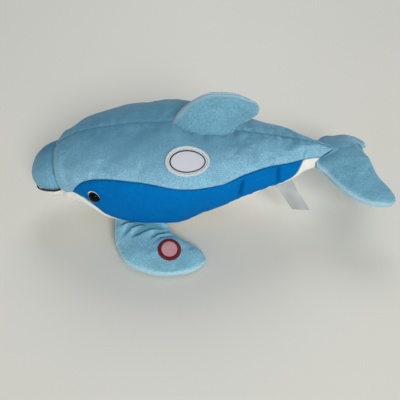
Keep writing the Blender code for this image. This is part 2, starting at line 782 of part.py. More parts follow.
def oval_band(name, outer, inner, lift, thickness, material_name, collection, steps=26):
    """A thin oval that follows the side of the body: a disc, or a ring if inner isn't None."""
    built = bmesh.new()
    shares = (1.0, 0.66, 0.33) if inner is None else (1.0, 0.0)
    hole = inner or (0.0, 0.0)
    rings = []
    for share in shares:
        size = [i + (o - i) * share for o, i in zip(outer, hole)]
        rings.append([built.verts.new(p) for p in oval_on_body(*size, lift + thickness, steps)])
    for first, second in zip(rings, rings[1:]):
        for i in range(steps):
            j = (i + 1) % steps
            built.faces.new((first[i], first[j], second[j], second[i]))
    if inner is None:
        middle = built.verts.new(body_point(PATCH_X, PATCH_ANGLE, lift + thickness))
        for i in range(steps):
            built.faces.new((rings[-1][i], rings[-1][(i + 1) % steps], middle))
    bmesh.ops.recalc_face_normals(built, faces=built.faces[:])
    out = normal_at(PATCH_X, PATCH_ANGLE)
    built.normal_update()
    if sum((f.normal.dot(out) for f in built.faces)) < 0:
        bmesh.ops.reverse_faces(built, faces=built.faces[:])
    made = new_object(name, built, material_name, collection)
    add_solidify(made, thickness)
    return made


def tube(name, points, radius, closed, material_name, collection):
    curve = bpy.data.curves.new(name, "CURVE")
    curve.dimensions = "3D"
    curve.bevel_depth = radius
    curve.bevel_resolution = 1
    curve.use_fill_caps = not closed
    spline = curve.splines.new("POLY")
    spline.points.add(len(points) - 1)
    for at, point in zip(spline.points, points):
        at.co = (*point, 1.0)
    spline.use_cyclic_u = closed
    curve.materials.append(material(material_name))
    made = bpy.data.objects.new(name, curve)
    collection.objects.link(made)
    return made


def side_patch(collection):
    """Woven oval with a stitched border and a thin ring. Its middle is bare."""
    inner_cut = 2 * (2 * PATCH_BORDER_RADIUS + GAP)
    disc = (PATCH_LENGTH - inner_cut, PATCH_WIDTH - inner_cut)
    oval_band("side_patch", disc, None, GAP, PATCH_THICKNESS, "patch_white", collection)
    middle = oval_on_body(
        PATCH_LENGTH - 2 * PATCH_BORDER_RADIUS, PATCH_WIDTH - 2 * PATCH_BORDER_RADIUS,
        GAP + PATCH_BORDER_RADIUS, 28,
    )
    tube("side_patch_border", middle, PATCH_BORDER_RADIUS, True, "patch_rim", collection)
    outer = (PATCH_LENGTH - 2 * PATCH_RING_INSET, PATCH_WIDTH - 2 * PATCH_RING_INSET)
    inner = (outer[0] - 2 * PATCH_RING_BAND, outer[1] - 2 * PATCH_RING_BAND)
    lift = GAP + PATCH_THICKNESS + GAP
    oval_band("side_patch_ring", outer, inner, lift, PATCH_RING_THICKNESS, "navy_thread", collection)


def flipper_top(flipper):
    """Height of the flipper's upper face, as a function of x and y."""
    graph = bpy.context.evaluated_depsgraph_get()
    tree = BVHTree.FromObject(flipper, graph)

    def height(x, y):
        hit = tree.ray_cast(Vector((x, y, 0.2)), Vector((0, 0, -1)))[0]
        return hit.z

    return height


def press_disc(name, outer, inner, height, material_name, collection, steps=24):
    """A thin piece that follows the flipper's upper face: a disc, or a ring round inner."""
    top = GAP + PRESS_THICKNESS
    built = bmesh.new()
    radii = (outer, outer / 2) if inner is None else (outer, inner)
    rings = []
    for radius in radii:
        ring = []
        for i in range(steps):
            turn = 2 * math.pi * i / steps
            x, y = PRESS_X + radius * math.cos(turn), PRESS_Y + radius * math.sin(turn)
            ring.append(built.verts.new((x, y, height(x, y) + top)))
        rings.append(ring)
    for i in range(steps):
        j = (i + 1) % steps
        built.faces.new((rings[0][i], rings[0][j], rings[1][j], rings[1][i]))
    if inner is None:
        middle = built.verts.new((PRESS_X, PRESS_Y, height(PRESS_X, PRESS_Y) + top))
        for i in range(steps):
            built.faces.new((rings[1][i], rings[1][(i + 1) % steps], middle))
    made = new_object(name, built, material_name, collection)
    add_solidify(made, PRESS_THICKNESS)


def press_patch(flipper, collection, cutters):
    """Round patch over a pocket in the flipper, which holds a sealed sound puck."""
    bpy.context.view_layer.update()
    height = flipper_top(flipper)
    edge = [
        height(PRESS_X + PUCK_RADIUS * math.cos(a), PRESS_Y + PUCK_RADIUS * math.sin(a))
        for a in np.linspace(0.0, 2 * math.pi, 24)
    ]
    inner = PRESS_RADIUS - PRESS_RING_BAND
    press_disc("press_patch", inner - GAP, None, height, "patch_white", collection)
    press_disc("press_patch_ring", PRESS_RADIUS, inner, height, "red_thread", collection)

    puck_top = min(edge) - GAP
    place = Matrix.Translation((PRESS_X, PRESS_Y, 0.0))
    pocket = cylinder(
        "cut_puck_pocket", PUCK_RADIUS + PUCK_CLEARANCE, puck_top - PUCK_THICKNESS - GAP,
        puck_top + CUTTER_TOP, place, "stuffing", cutters, 20,
    )
    hide_cutter(pocket)
    cut_with(flipper, pocket, "puck pocket")
    puck = cylinder(
        "sound_puck", PUCK_RADIUS, puck_top - PUCK_THICKNESS, puck_top, place, "puck_plastic",
        collection, 20,
    )
    rounding = puck.modifiers.new("rounding", "BEVEL")
    rounding.width = PUCK_ROUNDING
    rounding.segments = 1


def mouth_line(collection):
    """Black satin stitch on the seam between the beak and the jaw, round the front."""
    stations = spread(MOUTH_EDGE[0][0] + GAP, MOUTH_LINE_END_X, 8, LIP_CROWDING)
    lift = GAP + MOUTH_LINE_RADIUS
    left = [body_point(x, white_edge(x), lift) for x in stations[::-1]]
    right = [body_point(x, -white_edge(x), lift) for x in stations]
    front = body_point(MOUTH_EDGE[0][0], math.pi, lift)
    tube("mouth_line", left + [front] + right, MOUTH_LINE_RADIUS, False, "black_thread", collection)


def care_label(collection):
    """Ribbon folded in two, sewn at its ends to the belly under the left band."""
    fold = (LABEL_OPEN + LABEL_THICKNESS) / 2
    held_open = (GAP + LABEL_THICKNESS) / 2
    lift = GAP + LABEL_THICKNESS / 2 + held_open
    ahead = Vector((1.0, 0.0, 0.02)).normalized()
    down = Vector(LABEL_DIRECTION).normalized()
    out = ahead.cross(down).normalized()
    if out.y > 0:
        out = -out
    straight = [(i / 6 * LABEL_DROP, LABEL_SAG * math.sin(math.pi * i / 6)) for i in range(7)]
    turn = [math.pi / 2 - math.pi * i / 4 for i in range(1, 4)]
    path = [(drop, fold + sag) for drop, sag in straight]
    path += [(LABEL_DROP + fold * math.cos(a), fold * math.sin(a)) for a in turn]
    path += [(drop, sag - fold) for drop, sag in straight[::-1]]
    rows = []
    for drop, stand in path:
        twist = LABEL_TWIST * drop / LABEL_DROP
        width = ahead * math.cos(twist) + out * math.sin(twist)
        held = max(1.0 - drop / (LABEL_DROP / 3), 0.0) ** 2
        if drop < LABEL_DROP:
            stand -= math.copysign((fold - held_open) * held, stand)
        row = []
        for k in range(4):
            across = LABEL_WIDTH * (k / 3 - 0.5)
            seam = body_point(LABEL_X + across, LABEL_ANGLE, lift)
            hung = body_point(LABEL_X, LABEL_ANGLE, lift) + width * across
            row.append(seam * held + hung * (1 - held) + down * drop + out * stand)
        rows.append(row)
    made = new_object("care_label", grid_surface(rows), "label_satin", collection)
    solidify = add_solidify(made, LABEL_THICKNESS)
    solidify.offset = 0.0


def main():
    clear_scene()
    scene = bpy.context.scene
    parts = bpy.data.collections.new("plush_dolphin")
    cutters = bpy.data.collections.new("cutters")
    scene.collection.children.link(parts)
    scene.collection.children.link(cutters)

    stuffing_depth = SKIN + GAP + SEAM_DIP + STUFFING_SLACK
    stuffing = closed_body("stuffing", -stuffing_depth, parts, STUFFING_COLUMNS)
    body_cutter = closed_body("cut_body", GAP, cutters, CUTTER_COLUMNS)
    hide_cutter(body_cutter)

    back_panels(parts)
    bands = side_bands(parts)
    belly_panel(parts)
    beak_cover(parts)
    mouth_line(parts)
    dorsal_fin(parts, body_cutter)
    flipper_pair = flippers(parts, body_cutter)
    tail_flukes(parts, body_cutter)
    for side, name_side in ((LEFT, "left"), (RIGHT, "right")):
        eye(side, name_side, bands[side], parts, cutters, stuffing)
    side_patch(parts)
    press_patch(flipper_pair[LEFT], parts, cutters)
    care_label(parts)


main()
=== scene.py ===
"""Looks of the plush dolphin: sewn velour panels over a stuffed body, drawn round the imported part.

Metres, +Z up, head to -X, the animal's left side at -Y, as in the part. The body's loft and
the flippers', fin's and flukes' sections repeat the part's values.
"""

import math

import bpy
import numpy as np
from mathutils import Matrix, Vector
from mathutils.bvhtree import BVHTree


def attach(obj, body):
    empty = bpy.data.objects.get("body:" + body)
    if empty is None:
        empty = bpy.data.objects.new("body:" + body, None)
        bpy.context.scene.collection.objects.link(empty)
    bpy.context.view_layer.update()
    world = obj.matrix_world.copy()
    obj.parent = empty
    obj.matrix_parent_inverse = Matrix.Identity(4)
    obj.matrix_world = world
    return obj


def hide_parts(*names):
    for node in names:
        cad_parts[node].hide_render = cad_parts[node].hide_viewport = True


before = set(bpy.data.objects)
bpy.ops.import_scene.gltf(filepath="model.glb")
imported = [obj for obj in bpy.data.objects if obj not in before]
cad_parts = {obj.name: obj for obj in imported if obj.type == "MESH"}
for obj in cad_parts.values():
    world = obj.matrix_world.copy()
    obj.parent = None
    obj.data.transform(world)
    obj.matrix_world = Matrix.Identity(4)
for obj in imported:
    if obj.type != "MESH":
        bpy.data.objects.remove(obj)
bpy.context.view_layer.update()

# Seams: dips and grooves, the reach of the darker line along them, partly parted pile and partly
# painted shade of the groove, and the cloth that is turned in
SEAM_DIP = 0.0009
SEAM_DIP_REACH = 0.0040
GROOVE = 0.0008
GROOVE_REACH = 0.0009
LIP_GROOVE_SHARE = 0.6
SEAM_LINE = 0.0019
BAND_SEAM_LINE = 0.0008
SEAM_TUCK = 0.0030
PUCKER = 0.00022
PUCKER_LENGTH = 0.0085
PUCKER_SHEAR = 0.15
PUCKER_START = 0.0006
PUCKER_REACH = 0.0042
BACK_STITCH_START_X = 0.1180
FIN_STITCH_FROM_Z = 0.1275

# Edges of the fins
# Reach of the painted sheen rim, a pale band along the fins' edge seams
EDGE_SHEEN_RIM = 0.0026
EDGE_DIP = 0.0007
EDGE_DIP_REACH = 0.0022
EDGE_PUCKER_LENGTH = 0.0070
EDGE_PUCKER_START = 0.0012
EDGE_PUCKER_REACH = 0.0055
EDGE_TUCK = 0.0011

# Filling under the cloth, and steps of the meshes. The cloth lies flat under patch and eyes
LUMP = 0.00032
LUMP_LENGTH = 0.034
SMALL_LUMP_SHARE = 0.28
CALM_REACH = 0.6
STUFFING_DEPTH = 0.0032
FIBRE_DEPTH = 0.0012
FIBRE_CREASE_SHARE = 1.1
FIBRE_LUMP = 0.0008
FIBRE_LUMP_LENGTH = 0.022
BODY_RADIUS = 0.068
FINE_STEP = 0.0013
COARSE_STEP = 0.0046
SEAM_CROWDING = 0.105
POINT_GAP = 0.0002

# Cloth simulation: pressure, share of spare cloth and the most that a point may move
PANEL_CLOTH = (3.0, 0.004, 0.0006)
FIN_CLOTH = (3.5, 0.007, 0.0010)
PANEL_START_DEPTH = 0.0006
FIN_REFINING = 4
CLOTH_FRAMES = 20
CLOTH_SETTINGS = {
    "quality": 6, "mass": 0.25, "tension_stiffness": 18, "compression_stiffness": 18,
    "shear_stiffness": 6, "bending_stiffness": 0.4, "vertex_group_mass": "held",
    "use_pressure": True,
}

# Body sections: x, half width, height of the back, of the belly and of the widest line
BODY_SECTIONS = (
    (-0.138, 0.024, 0.0745, 0.037, 0.049),
    (-0.12, 0.028, 0.08, 0.033, 0.051),
    (-0.106, 0.033, 0.085, 0.031, 0.055),
    (-0.09, 0.0415, 0.0965, 0.0275, 0.064),
    (-0.07, 0.052, 0.109, 0.02, 0.073),
    (-0.045, 0.0635, 0.115, 0.001, 0.077),
    (-0.01, 0.072, 0.1195, -0.005, 0.081),
    (0.025, 0.074, 0.122, -0.003, 0.085),
    (0.06, 0.0665, 0.1165, 0.012, 0.083),
    (0.1, 0.0535, 0.109, 0.033, 0.077),
    (0.14, 0.0405, 0.1025, 0.054, 0.076),
    (0.17, 0.025, 0.096, 0.065, 0.0755),
    (0.205, 0.0155, 0.085, 0.0675, 0.076),
)
NOSE_TIP_X = -0.1345
NOSE_ROUND_X = -0.11
TAIL_APEX_X = 0.202
TAIL_VEE_SLOPE = 1.4
TAIL_VEE_FROM_X = 0.15

# x and degrees of the blue band's upper edge, the white's upper edge and the mouth
BAND_EDGE = (
    (-0.0815, 98), (-0.073, 85), (-0.064, 74), (-0.049, 66), (-0.032, 64), (-0.008, 66),
    (0.032, 78), (0.056, 82), (0.075, 79), (0.1, 66), (0.135, 55), (0.1705, 56),
)
WHITE_EDGE = (
    (-0.0985, 97), (-0.0815, 98), (-0.062, 109), (-0.04, 127), (0.0, 138), (0.045, 140),
    (0.077, 131), (0.094, 119), (0.12, 118), (0.137, 115), (0.151, 104), (0.1615, 83),
    (0.1705, 56), (0.202, 52),
)
MOUTH_EDGE = (
    (-0.1275, 180), (-0.1265, 152), (-0.1245, 124), (-0.119, 102), (-0.108, 96), (-0.0985, 97),
)
BEAK_SEAM_X = -0.0985
BEAK_SEAM_DIP = 0.0026
BEAK_SEAM_REACH = 0.0045
BEAK_CREASE = 0.0009
BEAK_CREASE_BACK = 0.0062
BEAK_CREASE_REACH = 0.0016
BEAK_CREASE_FROM = 0.35
BEAK_RADIUS = 0.03
BEAK_PUCKER = 1.3 * PUCKER
BEAK_PUCKER_LENGTH = 0.008
BEAK_PUCKER_REACH = 0.0045
BEAK_LUMP_SHARE = 0.7
LIP_START = 0.0004
JAW_START_X = -0.1272
JAW_FINE_END_X = -0.119
BEAK_SLANT_TOP = -0.0036
BEAK_SLANT_SIDE = 0.0034
BEAK_SLANT_REACH = 0.02
MELON_PUFF = 0.0014
MELON_PUFF_X = -0.091
MELON_PUFF_REACH = 0.006
# x, slant in metres a radian, upper and lower degrees, depth, half width
BODY_FOLDS = (
    (0.096, -0.006, 62, 116, 0.0012, 0.005),
    (0.137, 0.0, 50, 112, 0.0013, 0.0045),
)
# Smaller creases that only the cloth shows, in the same terms
CLOTH_CREASES = (
    (0.098, -0.006, 66, 118, 0.0026, 0.0018),
    (0.1368, 0.0, 50, 112, 0.0028, 0.0018),
    (0.168, 0.002, 24, 66, 0.0014, 0.0018),
    (0.129, 0.005, 62, 100, 0.0006, 0.002),
    (0.085, -0.008, 84, 122, 0.0005, 0.0022),
    (-0.0855, 0.002, 20, 84, 0.0004, 0.0022),
)
# Depths of creases and of gathers at which their painted shade is full, and the most of it
CREASE_FULL_DEPTH = 0.0032
CREASE_MOST_SHADE = 0.75
FOLD_FULL_DEPTH = 0.0042
FOLD_MOST_SHADE = 0.80
FOLD_FADE_DEGREES = 14

# Fin, flippers and flukes: front and rear place of each section, then two more values. For
# the fin these are its half thickness and its lean, for the others the height of their seam
# and their half thickness
FIN_SECTIONS = (
    ((0.021, 0.112), (0.088, 0.102), 0.0165, 0.0),
    ((0.034, 0.133), (0.094, 0.116), 0.0125, 0.0005),
    ((0.049, 0.148), (0.104, 0.1245), 0.01, 0.0015),
    ((0.067, 0.156), (0.1105, 0.13), 0.0085, 0.0025),
    ((0.086, 0.1565), (0.114, 0.1345), 0.0068, 0.0035),
    ((0.107, 0.1497), (0.115, 0.1398), 0.0035, 0.004),
)
FLIPPER_SECTIONS = (
    ((-0.041, -0.038), (0.016, -0.038), 0.02, 0.007),
    ((-0.04, -0.058), (0.019, -0.049), 0.015, 0.0085),
    ((-0.0355, -0.077), (0.0235, -0.056), 0.0105, 0.0095),
    ((-0.0255, -0.096), (0.03, -0.062), 0.009, 0.0092),
    ((-0.008, -0.107), (0.0375, -0.067), 0.0085, 0.0088),
    ((0.015, -0.112), (0.0455, -0.0725), 0.008, 0.0082),
    ((0.038, -0.1095), (0.0535, -0.0775), 0.0075, 0.007),
    ((0.0535, -0.103), (0.0595, -0.0825), 0.0065, 0.005),
    ((0.06, -0.0965), (0.062, -0.0885), 0.006, 0.0028),
)
# Gathers at a flipper's root: the (x, y) places of each line, its depth and half width
FLIPPER_FOLDS = (
    (((-0.0321, -0.0545), (-0.023, -0.0528), (-0.0129, -0.0522)), 0.0034, 0.0019),
    (((-0.0278, -0.0655), (-0.021, -0.0582), (-0.0108, -0.0556), (0.001, -0.0548)), 0.005, 0.0022),
    (((-0.0185, -0.068), (-0.009, -0.0614), (0.0018, -0.0572), (0.016, -0.056)), 0.0054, 0.0024),
    (((0.0022, -0.0684), (0.0074, -0.063), (0.018, -0.0602)), 0.0038, 0.0021),
    (((0.0066, -0.0744), (0.0112, -0.0678), (0.025, -0.0668)), 0.0019, 0.0019),
)
# Puffed cloth over the seam at a flipper's root
FLIPPER_PUFFS = (
    (((-0.033, -0.0565), (-0.01, -0.0556), (0.014, -0.0528)), -0.005, 0.0052),
)
# Least height of the cloth over the floor
FLOOR_GAP = 0.0003
# The sound unit tilts the cloth over it away from the body
PRESS_TILT = 0.3
PRESS_TILT_REACH = 0.017
FLUKE_SECTIONS = (
    ((0.2, 0.0), (0.2365, 0.0), 0.0762, 0.0088),
    ((0.178, 0.015), (0.2385, 0.009), 0.075, 0.009),
    ((0.187, 0.027), (0.24, 0.015), 0.0715, 0.0088),
    ((0.1975, 0.041), (0.244, 0.022), 0.0665, 0.0082),
    ((0.212, 0.053), (0.2505, 0.031), 0.061, 0.0076),
    ((0.232, 0.06), (0.2565, 0.04), 0.056, 0.0068),
    ((0.249, 0.06), (0.26, 0.047), 0.053, 0.005),
    ((0.257, 0.0555), (0.2605, 0.0515), 0.052, 0.0025),
)
FLUKE_TURN = math.radians(4.0)
FLUKE_ROOT_HALF_WIDTH = 0.0175
FLUKE_DROOP = 0.011
# Where the flukes' root goes thin inside the tail's V, and by how much
FLUKE_NARROW_FROM = 0.0004
FLUKE_NARROW_REACH = 0.003
FLUKE_NARROW_SHARE = 0.22
# Creases on the upper side of the flukes, as on the flippers
FLUKE_FOLDS = (
    (((0.229, 0.019), (0.237, -0.004)), 0.0022, 0.0024),
    (((0.227, -0.012), (0.236, -0.024)), 0.0018, 0.0024),
    (((0.211, 0.001), (0.223, 0.008)), 0.0012, 0.0026),
    (((0.208, -0.019), (0.219, -0.026)), 0.0009, 0.0026),
)
# Share of a fold's depth at its ends, and the share of its length over which it deepens
FOLD_END_SHARE = 0.35
FOLD_END_FADE = 0.22
# Plumpness of the filled fins: at their edge, before the simulation and after it
EDGE_PLUMPNESS = 0.09
COARSE_SWOLLEN = 0.95
FINE_SWOLLEN = 0.97

# Eyes. The felt lies a little further forward and lower than its solid
FELT_FORWARD = 0.0003
FELT_LOWER = 0.0005
STEM_RADIUS = 0.002
STEM_END = -0.0085
EYE_X = -0.0512
EYE_ANGLE = math.radians(92)
EYE_RADIUS = 0.0062
EYE_HEIGHT = 0.005
EYE_RIM = 0.0008
EYE_WHITE_RADIUS = 0.0068
EYE_WHITE_THICKNESS = 0.0008
EYE_WHITE_FORWARD = 0.0012

# Patches
# Least gap between a piece and the cloth under it
GAP = 0.0003
PATCH_X = 0.0428
PATCH_ANGLE = math.radians(45)
PATCH_LENGTH = 0.0435
PATCH_WIDTH = 0.032
PATCH_THICKNESS = 0.001
PATCH_BORDER_RADIUS = 0.0014
PATCH_RING_INSET = 0.0042
PATCH_RING_BAND = 0.0013
PATCH_PUFF = 0.0003
PATCH_BORDER_STITCHES = 132
PATCH_RING_STITCHES = 150
PRESS_X = 0.0225
PRESS_Y = -0.085
PRESS_RADIUS = 0.0125
PRESS_RING_BAND = 0.0034
PRESS_THICKNESS = 0.001
# The ring's stitches reach further in than its solid
PRESS_RING_STITCH = 0.0046
PRESS_RING_STITCHES = 110

MOUTH_LINE_RADIUS = 0.0009
MOUTH_LINE_RISE = 0.0008
MOUTH_LINE_FORWARD = 0.0024
MOUTH_LINE_FORWARD_REACH = 0.006
MOUTH_LINE_END_X = -0.0965
MOUTH_LINE_TAPER = 0.003
MOUTH_STITCH_PITCH = 0.0011

# Care label
LABEL_X = 0.144
LABEL_ANGLE = math.radians(132)
LABEL_WIDTH = 0.019
LABEL_DROP = 0.036
LABEL_THICKNESS = 0.0003
LABEL_OPEN = 0.001
LABEL_DIRECTION = (0.56, -0.46, -0.69)
LABEL_SAG = 0.0035
LABEL_TWIST = 0.25
LABEL_CURL = 0.0006

# Pitch, length and radius of the stitches, and how far they lean along the seam
BACK_STITCH = (0.0040, 0.0022, 0.00028)
FIN_STITCH = (0.0034, 0.0026, 0.00026)
STITCH_LEAN = 0.45

# Velour: direction of the faces on which the colour darkens, partly the pile's nap and partly painted
# shade; the shares of the colour in that painted shade, also used along seams and in creases; and how
# pale the painted sheen rim at an edge is, by the sheen
NAP_AND_SHADE_DIRECTION = (-0.35, 0.35, 0.87)
SHADE_AND_NAP_SHARES = (0.30, 0.45, 0.52)
PAINTED_RIM_BY_SHEEN = 0.60 / 0.55

# Stage: name, place, size, power and colour of the lamps, and the camera
LAMPS = (
    ("key", (0.85, -2.30, 1.60), 1.00, 50.0, (1.0, 0.985, 0.96)),
    ("back", (0.10, 2.00, 2.00), 1.50, 20.0, (0.98, 0.99, 1.0)),
)
LAMP_AIM = (0.05, 0.0, 0.04)
FLOOR_HALF = 6.0
CAMERA_AIM = (0.055, 0.004, 0.0)
CAMERA_DISTANCE = 0.60
CAMERA_PITCH = math.radians(46.0)
CAMERA_FOCAL_PIXELS = 495.0
IMAGE_WIDTH = 400

LEFT = 1
RIGHT = -1
SIDES = ((LEFT, "left"), (RIGHT, "right"))
FULL_TURN = 2 * math.pi


# Curves and the body's loft, for arrays of places

def curve_at(x, knots, values):
    """Monotone cubic curve through the knots."""
    knots, values = np.asarray(knots, float), np.asarray(values, float)
    steps = np.diff(knots)
    slopes = np.diff(values) / steps
    tangents = np.zeros(len(knots))
    tangents[0], tangents[-1] = slopes[0], slopes[-1]
    for i in range(1, len(steps)):
        if slopes[i - 1] * slopes[i] > 0:
            before = 2 * steps[i] + steps[i - 1]
            after = steps[i] + 2 * steps[i - 1]
            tangents[i] = (before + after) / (before / slopes[i - 1] + after / slopes[i])
    x = np.clip(x, knots[0], knots[-1])
    i = np.clip(np.searchsorted(knots, x) - 1, 0, len(steps) - 1)
    t, h = (x - knots[i]) / steps[i], steps[i]
    return (
        (1 + 2 * t) * (1 - t) ** 2 * values[i]
        + t * (1 - t) ** 2 * h * tangents[i]
        + t * t * (3 - 2 * t) * values[i + 1]
        + t * t * (t - 1) * h * tangents[i + 1]
    )


def along(table, x):
    knots, values = np.array(table, float).T
    return curve_at(x, knots, values)


def bell(distance, reach):
    return np.exp(-((distance / reach) ** 2))


def smooth_step(value):
    value = np.clip(value, 0.0, 1.0)
    return value * value * (3 - 2 * value)


def unit(vectors):
    return vectors / np.linalg.norm(vectors, axis=-1, keepdims=True)


def circle(count):
    """Angles of count places round a circle."""
    return np.linspace(0, FULL_TURN, count, endpoint=False)


def run_along(points, axis=0):
    """Length from the first point to each, along one axis of a grid."""
    steps = np.linalg.norm(np.diff(points, axis=axis), axis=-1)
    none = np.zeros_like(np.take(steps, [0], axis=axis))
    return np.concatenate([none, np.cumsum(steps, axis=axis)], axis=axis)


def read_path(path, run, places):
    """Points of a path at the given lengths along it."""
    return np.stack([np.interp(places, run, path[:, k]) for k in range(3)], -1)


def waves(points, length, seed, count=12):
    """Smooth noise of about unit size and the given wavelength."""
    rng = np.random.default_rng(seed)
    directions = unit(rng.normal(size=(count, 3)))
    rates = FULL_TURN / (length * rng.uniform(0.75, 1.5, count))
    phases = rng.uniform(0, FULL_TURN, count)
    found = np.sin((points @ directions.T) * rates + phases).sum(-1)
    return found / math.sqrt(count / 2)


def ripples(along_seam, length, seed, count=7):
    """Noise along a line, for the puckers of a seam."""
    rng = np.random.default_rng(seed)
    rates = FULL_TURN / (length * rng.uniform(0.65, 1.7, count))
    phases = rng.uniform(0, FULL_TURN, count)
    return np.sin(along_seam[..., None] * rates + phases).sum(-1) / math.sqrt(count / 2)


def body_section(x):
    columns = np.array(BODY_SECTIONS).T
    width, back, belly, middle = (curve_at(x, columns[0], c) for c in columns[1:])
    dip = BEAK_SEAM_DIP * bell(x - BEAK_SEAM_X, BEAK_SEAM_REACH)
    puff = MELON_PUFF * bell(x - MELON_PUFF_X, MELON_PUFF_REACH)
    width, back, belly = width - dip + puff, back - dip + puff, belly + dip - puff
    run = np.clip((NOSE_ROUND_X - x) / (NOSE_ROUND_X - NOSE_TIP_X), 0.0, 1.0)
    scale = np.sqrt(1.0 - run * run)
    return width * scale, middle + (back - middle) * scale, middle + (belly - middle) * scale, middle


def fold_depth(x, angle, folds):
    depth = np.zeros(np.broadcast(x, angle).shape)
    side = np.degrees(np.abs(angle))
    for at, slant, upper, lower, deep, reach in folds:
        across = x - at - slant * (np.abs(angle) - math.radians((upper + lower) / 2))
        inside = np.clip((side - upper) / FOLD_FADE_DEGREES, 0, 1)
        inside = inside * np.clip((lower - side) / FOLD_FADE_DEGREES, 0, 1)
        depth = depth + deep * inside * bell(across, reach)
    return depth


def raw_points(x, angle):
    width, back, belly, middle = body_section(x)
    rise = np.where(np.cos(angle) > 0, back - middle, middle - belly)
    y = -width * np.sin(angle)
    z = middle + rise * np.cos(angle)
    vee = np.clip((x - TAIL_VEE_FROM_X) / (TAIL_APEX_X - TAIL_VEE_FROM_X), 0.0, 1.0)
    top = np.maximum(np.cos(angle), 0.0)
    slant = BEAK_SLANT_SIDE + (BEAK_SLANT_TOP - BEAK_SLANT_SIDE) * top
    slant = slant * bell(x - BEAK_SEAM_X, BEAK_SLANT_REACH)
    x = x + slant - TAIL_VEE_SLOPE * np.abs(y) * vee * vee
    return np.stack(np.broadcast_arrays(x, y, np.maximum(z, 0.0)), -1)


def normals_at(x, angle):
    ahead, turn = 0.0004, math.radians(0.8)
    x = np.maximum(x, NOSE_TIP_X + 2 * ahead)
    forward = raw_points(x + ahead, angle) - raw_points(x - ahead, angle)
    around = raw_points(x, angle + turn) - raw_points(x, angle - turn)
    return unit(-np.cross(forward, around))


def body_points(x, angle, lift=0.0):
    x, angle = np.broadcast_arrays(np.asarray(x, float), np.asarray(angle, float))
    lift = np.broadcast_to(lift, x.shape) - fold_depth(x, angle, BODY_FOLDS)
    return raw_points(x, angle) + normals_at(x, angle) * lift[..., None]


def arc_rate(x, angle):
    """Metres round the section for a radian."""
    step = math.radians(1.0)
    apart = raw_points(x, angle + step) - raw_points(x, angle - step)
    return np.linalg.norm(apart, axis=-1) / (2 * step)


def centre_line(x):
    return np.zeros_like(np.asarray(x, float))


def white_edge(x):
    x = np.asarray(x, float)
    return np.radians(np.where(x < BEAK_SEAM_X, along(MOUTH_EDGE, x), along(WHITE_EDGE, x)))


def far_white_edge(x):
    return FULL_TURN - white_edge(x)


def band_edge(x):
    x = np.asarray(x, float)
    inside = (x >= BAND_EDGE[0][0]) & (x <= BAND_EDGE[-1][0])
    return np.where(inside, np.radians(along(BAND_EDGE, x)), white_edge(x))


# Meshes from grids of points

def bake(obj):
    """Applies the object's modifiers."""
    graph = bpy.context.evaluated_depsgraph_get()
    done = bpy.data.meshes.new_from_object(obj.evaluated_get(graph))
    obj.modifiers.clear()
    obj.data = done


def grid_mesh(name, points, material=None, wrap=False, weld=False, seam=None):
    """A surface through a grid of points, with UVs in metres along its rows and columns.
    seam tells the velour where to paint shade, along seams where the pile parts and in creases (1),
    and where to paint a pale sheen rim at an edge (-1)."""
    rows, columns = points.shape[:2]
    mesh = bpy.data.meshes.new(name)
    index = np.arange(rows * columns).reshape(rows, columns)
    following = np.roll(index, -1, axis=1) if wrap else index[:, 1:]
    here = index if wrap else index[:, :-1]
    faces = np.stack([here[:-1], following[:-1], following[1:], here[1:]], -1).reshape(-1, 4)
    mesh.from_pydata(points.reshape(-1, 3).tolist(), [], faces.tolist())
    places = np.stack([run_along(points, 0), run_along(points, 1)], -1).reshape(-1, 2)
    corners = np.empty(len(mesh.loops), np.int32)
    mesh.loops.foreach_get("vertex_index", corners)
    layer = mesh.uv_layers.new(name="cloth")
    layer.data.foreach_set("uv", places[corners].astype(np.float32).ravel())
    if seam is not None:
        kept = mesh.attributes.new("seam", "FLOAT", "POINT")
        kept.data.foreach_set("value", np.asarray(seam, np.float32).ravel())
    made = bpy.data.objects.new(name, mesh)
    bpy.context.scene.collection.objects.link(made)
    if weld:
        made.modifiers.new("weld", "WELD").merge_threshold = 0.00002
        bake(made)
    if material:
        made.data.materials.append(bpy.data.materials[material])
    made.data.shade_smooth()
    return made


def dress(obj, node=None):
    """Hides the part's node that the piece stands in for, and lets the piece ride on the body."""
    if node:
        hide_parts(node)
    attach(obj, "root")
    return obj


def piece(name, points, material, slot, node=None, fill=None, **kinds):
    """A surface through a grid of points, dressed as a piece of the scene."""
    return dress(grid_mesh(name, points, material, **kinds), node)


def closed_ends(points):
    """The grid with one more row at each end, drawn together in the middle of that end."""
    ends = [np.broadcast_to(points[k].mean(axis=0), points[k].shape)[None] for k in (0, -1)]
    return np.concatenate([ends[0], points, ends[1]], axis=0)


def closed_rows(points):
    """The grid with its first row repeated at its end, to close a loop."""
    return np.concatenate([points, points[:1]], axis=0)


def between(values, places, axis):
    """Catmull-Rom reading of a grid of values at fractional indices along one axis."""
    count = values.shape[axis]
    first = np.floor(places).astype(int)
    t = places - first
    weights = (
        -0.5 * t + t**2 - 0.5 * t**3,
        1 - 2.5 * t**2 + 1.5 * t**3,
        0.5 * t + 2 * t**2 - 1.5 * t**3,
        -0.5 * t**2 + 0.5 * t**3,
    )
    shape = [1] * values.ndim
    shape[axis] = len(places)
    total = 0.0
    for offset, weight in zip((-1, 0, 1, 2), weights):
        at = np.clip(first + offset, 0, count - 1)
        total = total + np.take(values, at, axis=axis) * weight.reshape(shape)
    return total


def refined(values, rows, columns):
    return between(between(values, rows, 0), columns, 1)


def calm(points, side):
    """Share from 0 under the oval patch and the eye, where the cloth lies flat, to 1 beyond."""
    share = np.ones(points.shape[:-1])
    places = [(EYE_X, side * EYE_ANGLE, EYE_WHITE_RADIUS)]
    if side == LEFT:
        places.append((PATCH_X, PATCH_ANGLE, PATCH_LENGTH / 2))
    for x, angle, radius in places:
        far = np.linalg.norm(points - body_points(x, angle), axis=-1)
        share = share * smooth_step((far / radius - 1.0) / CALM_REACH)
    return share


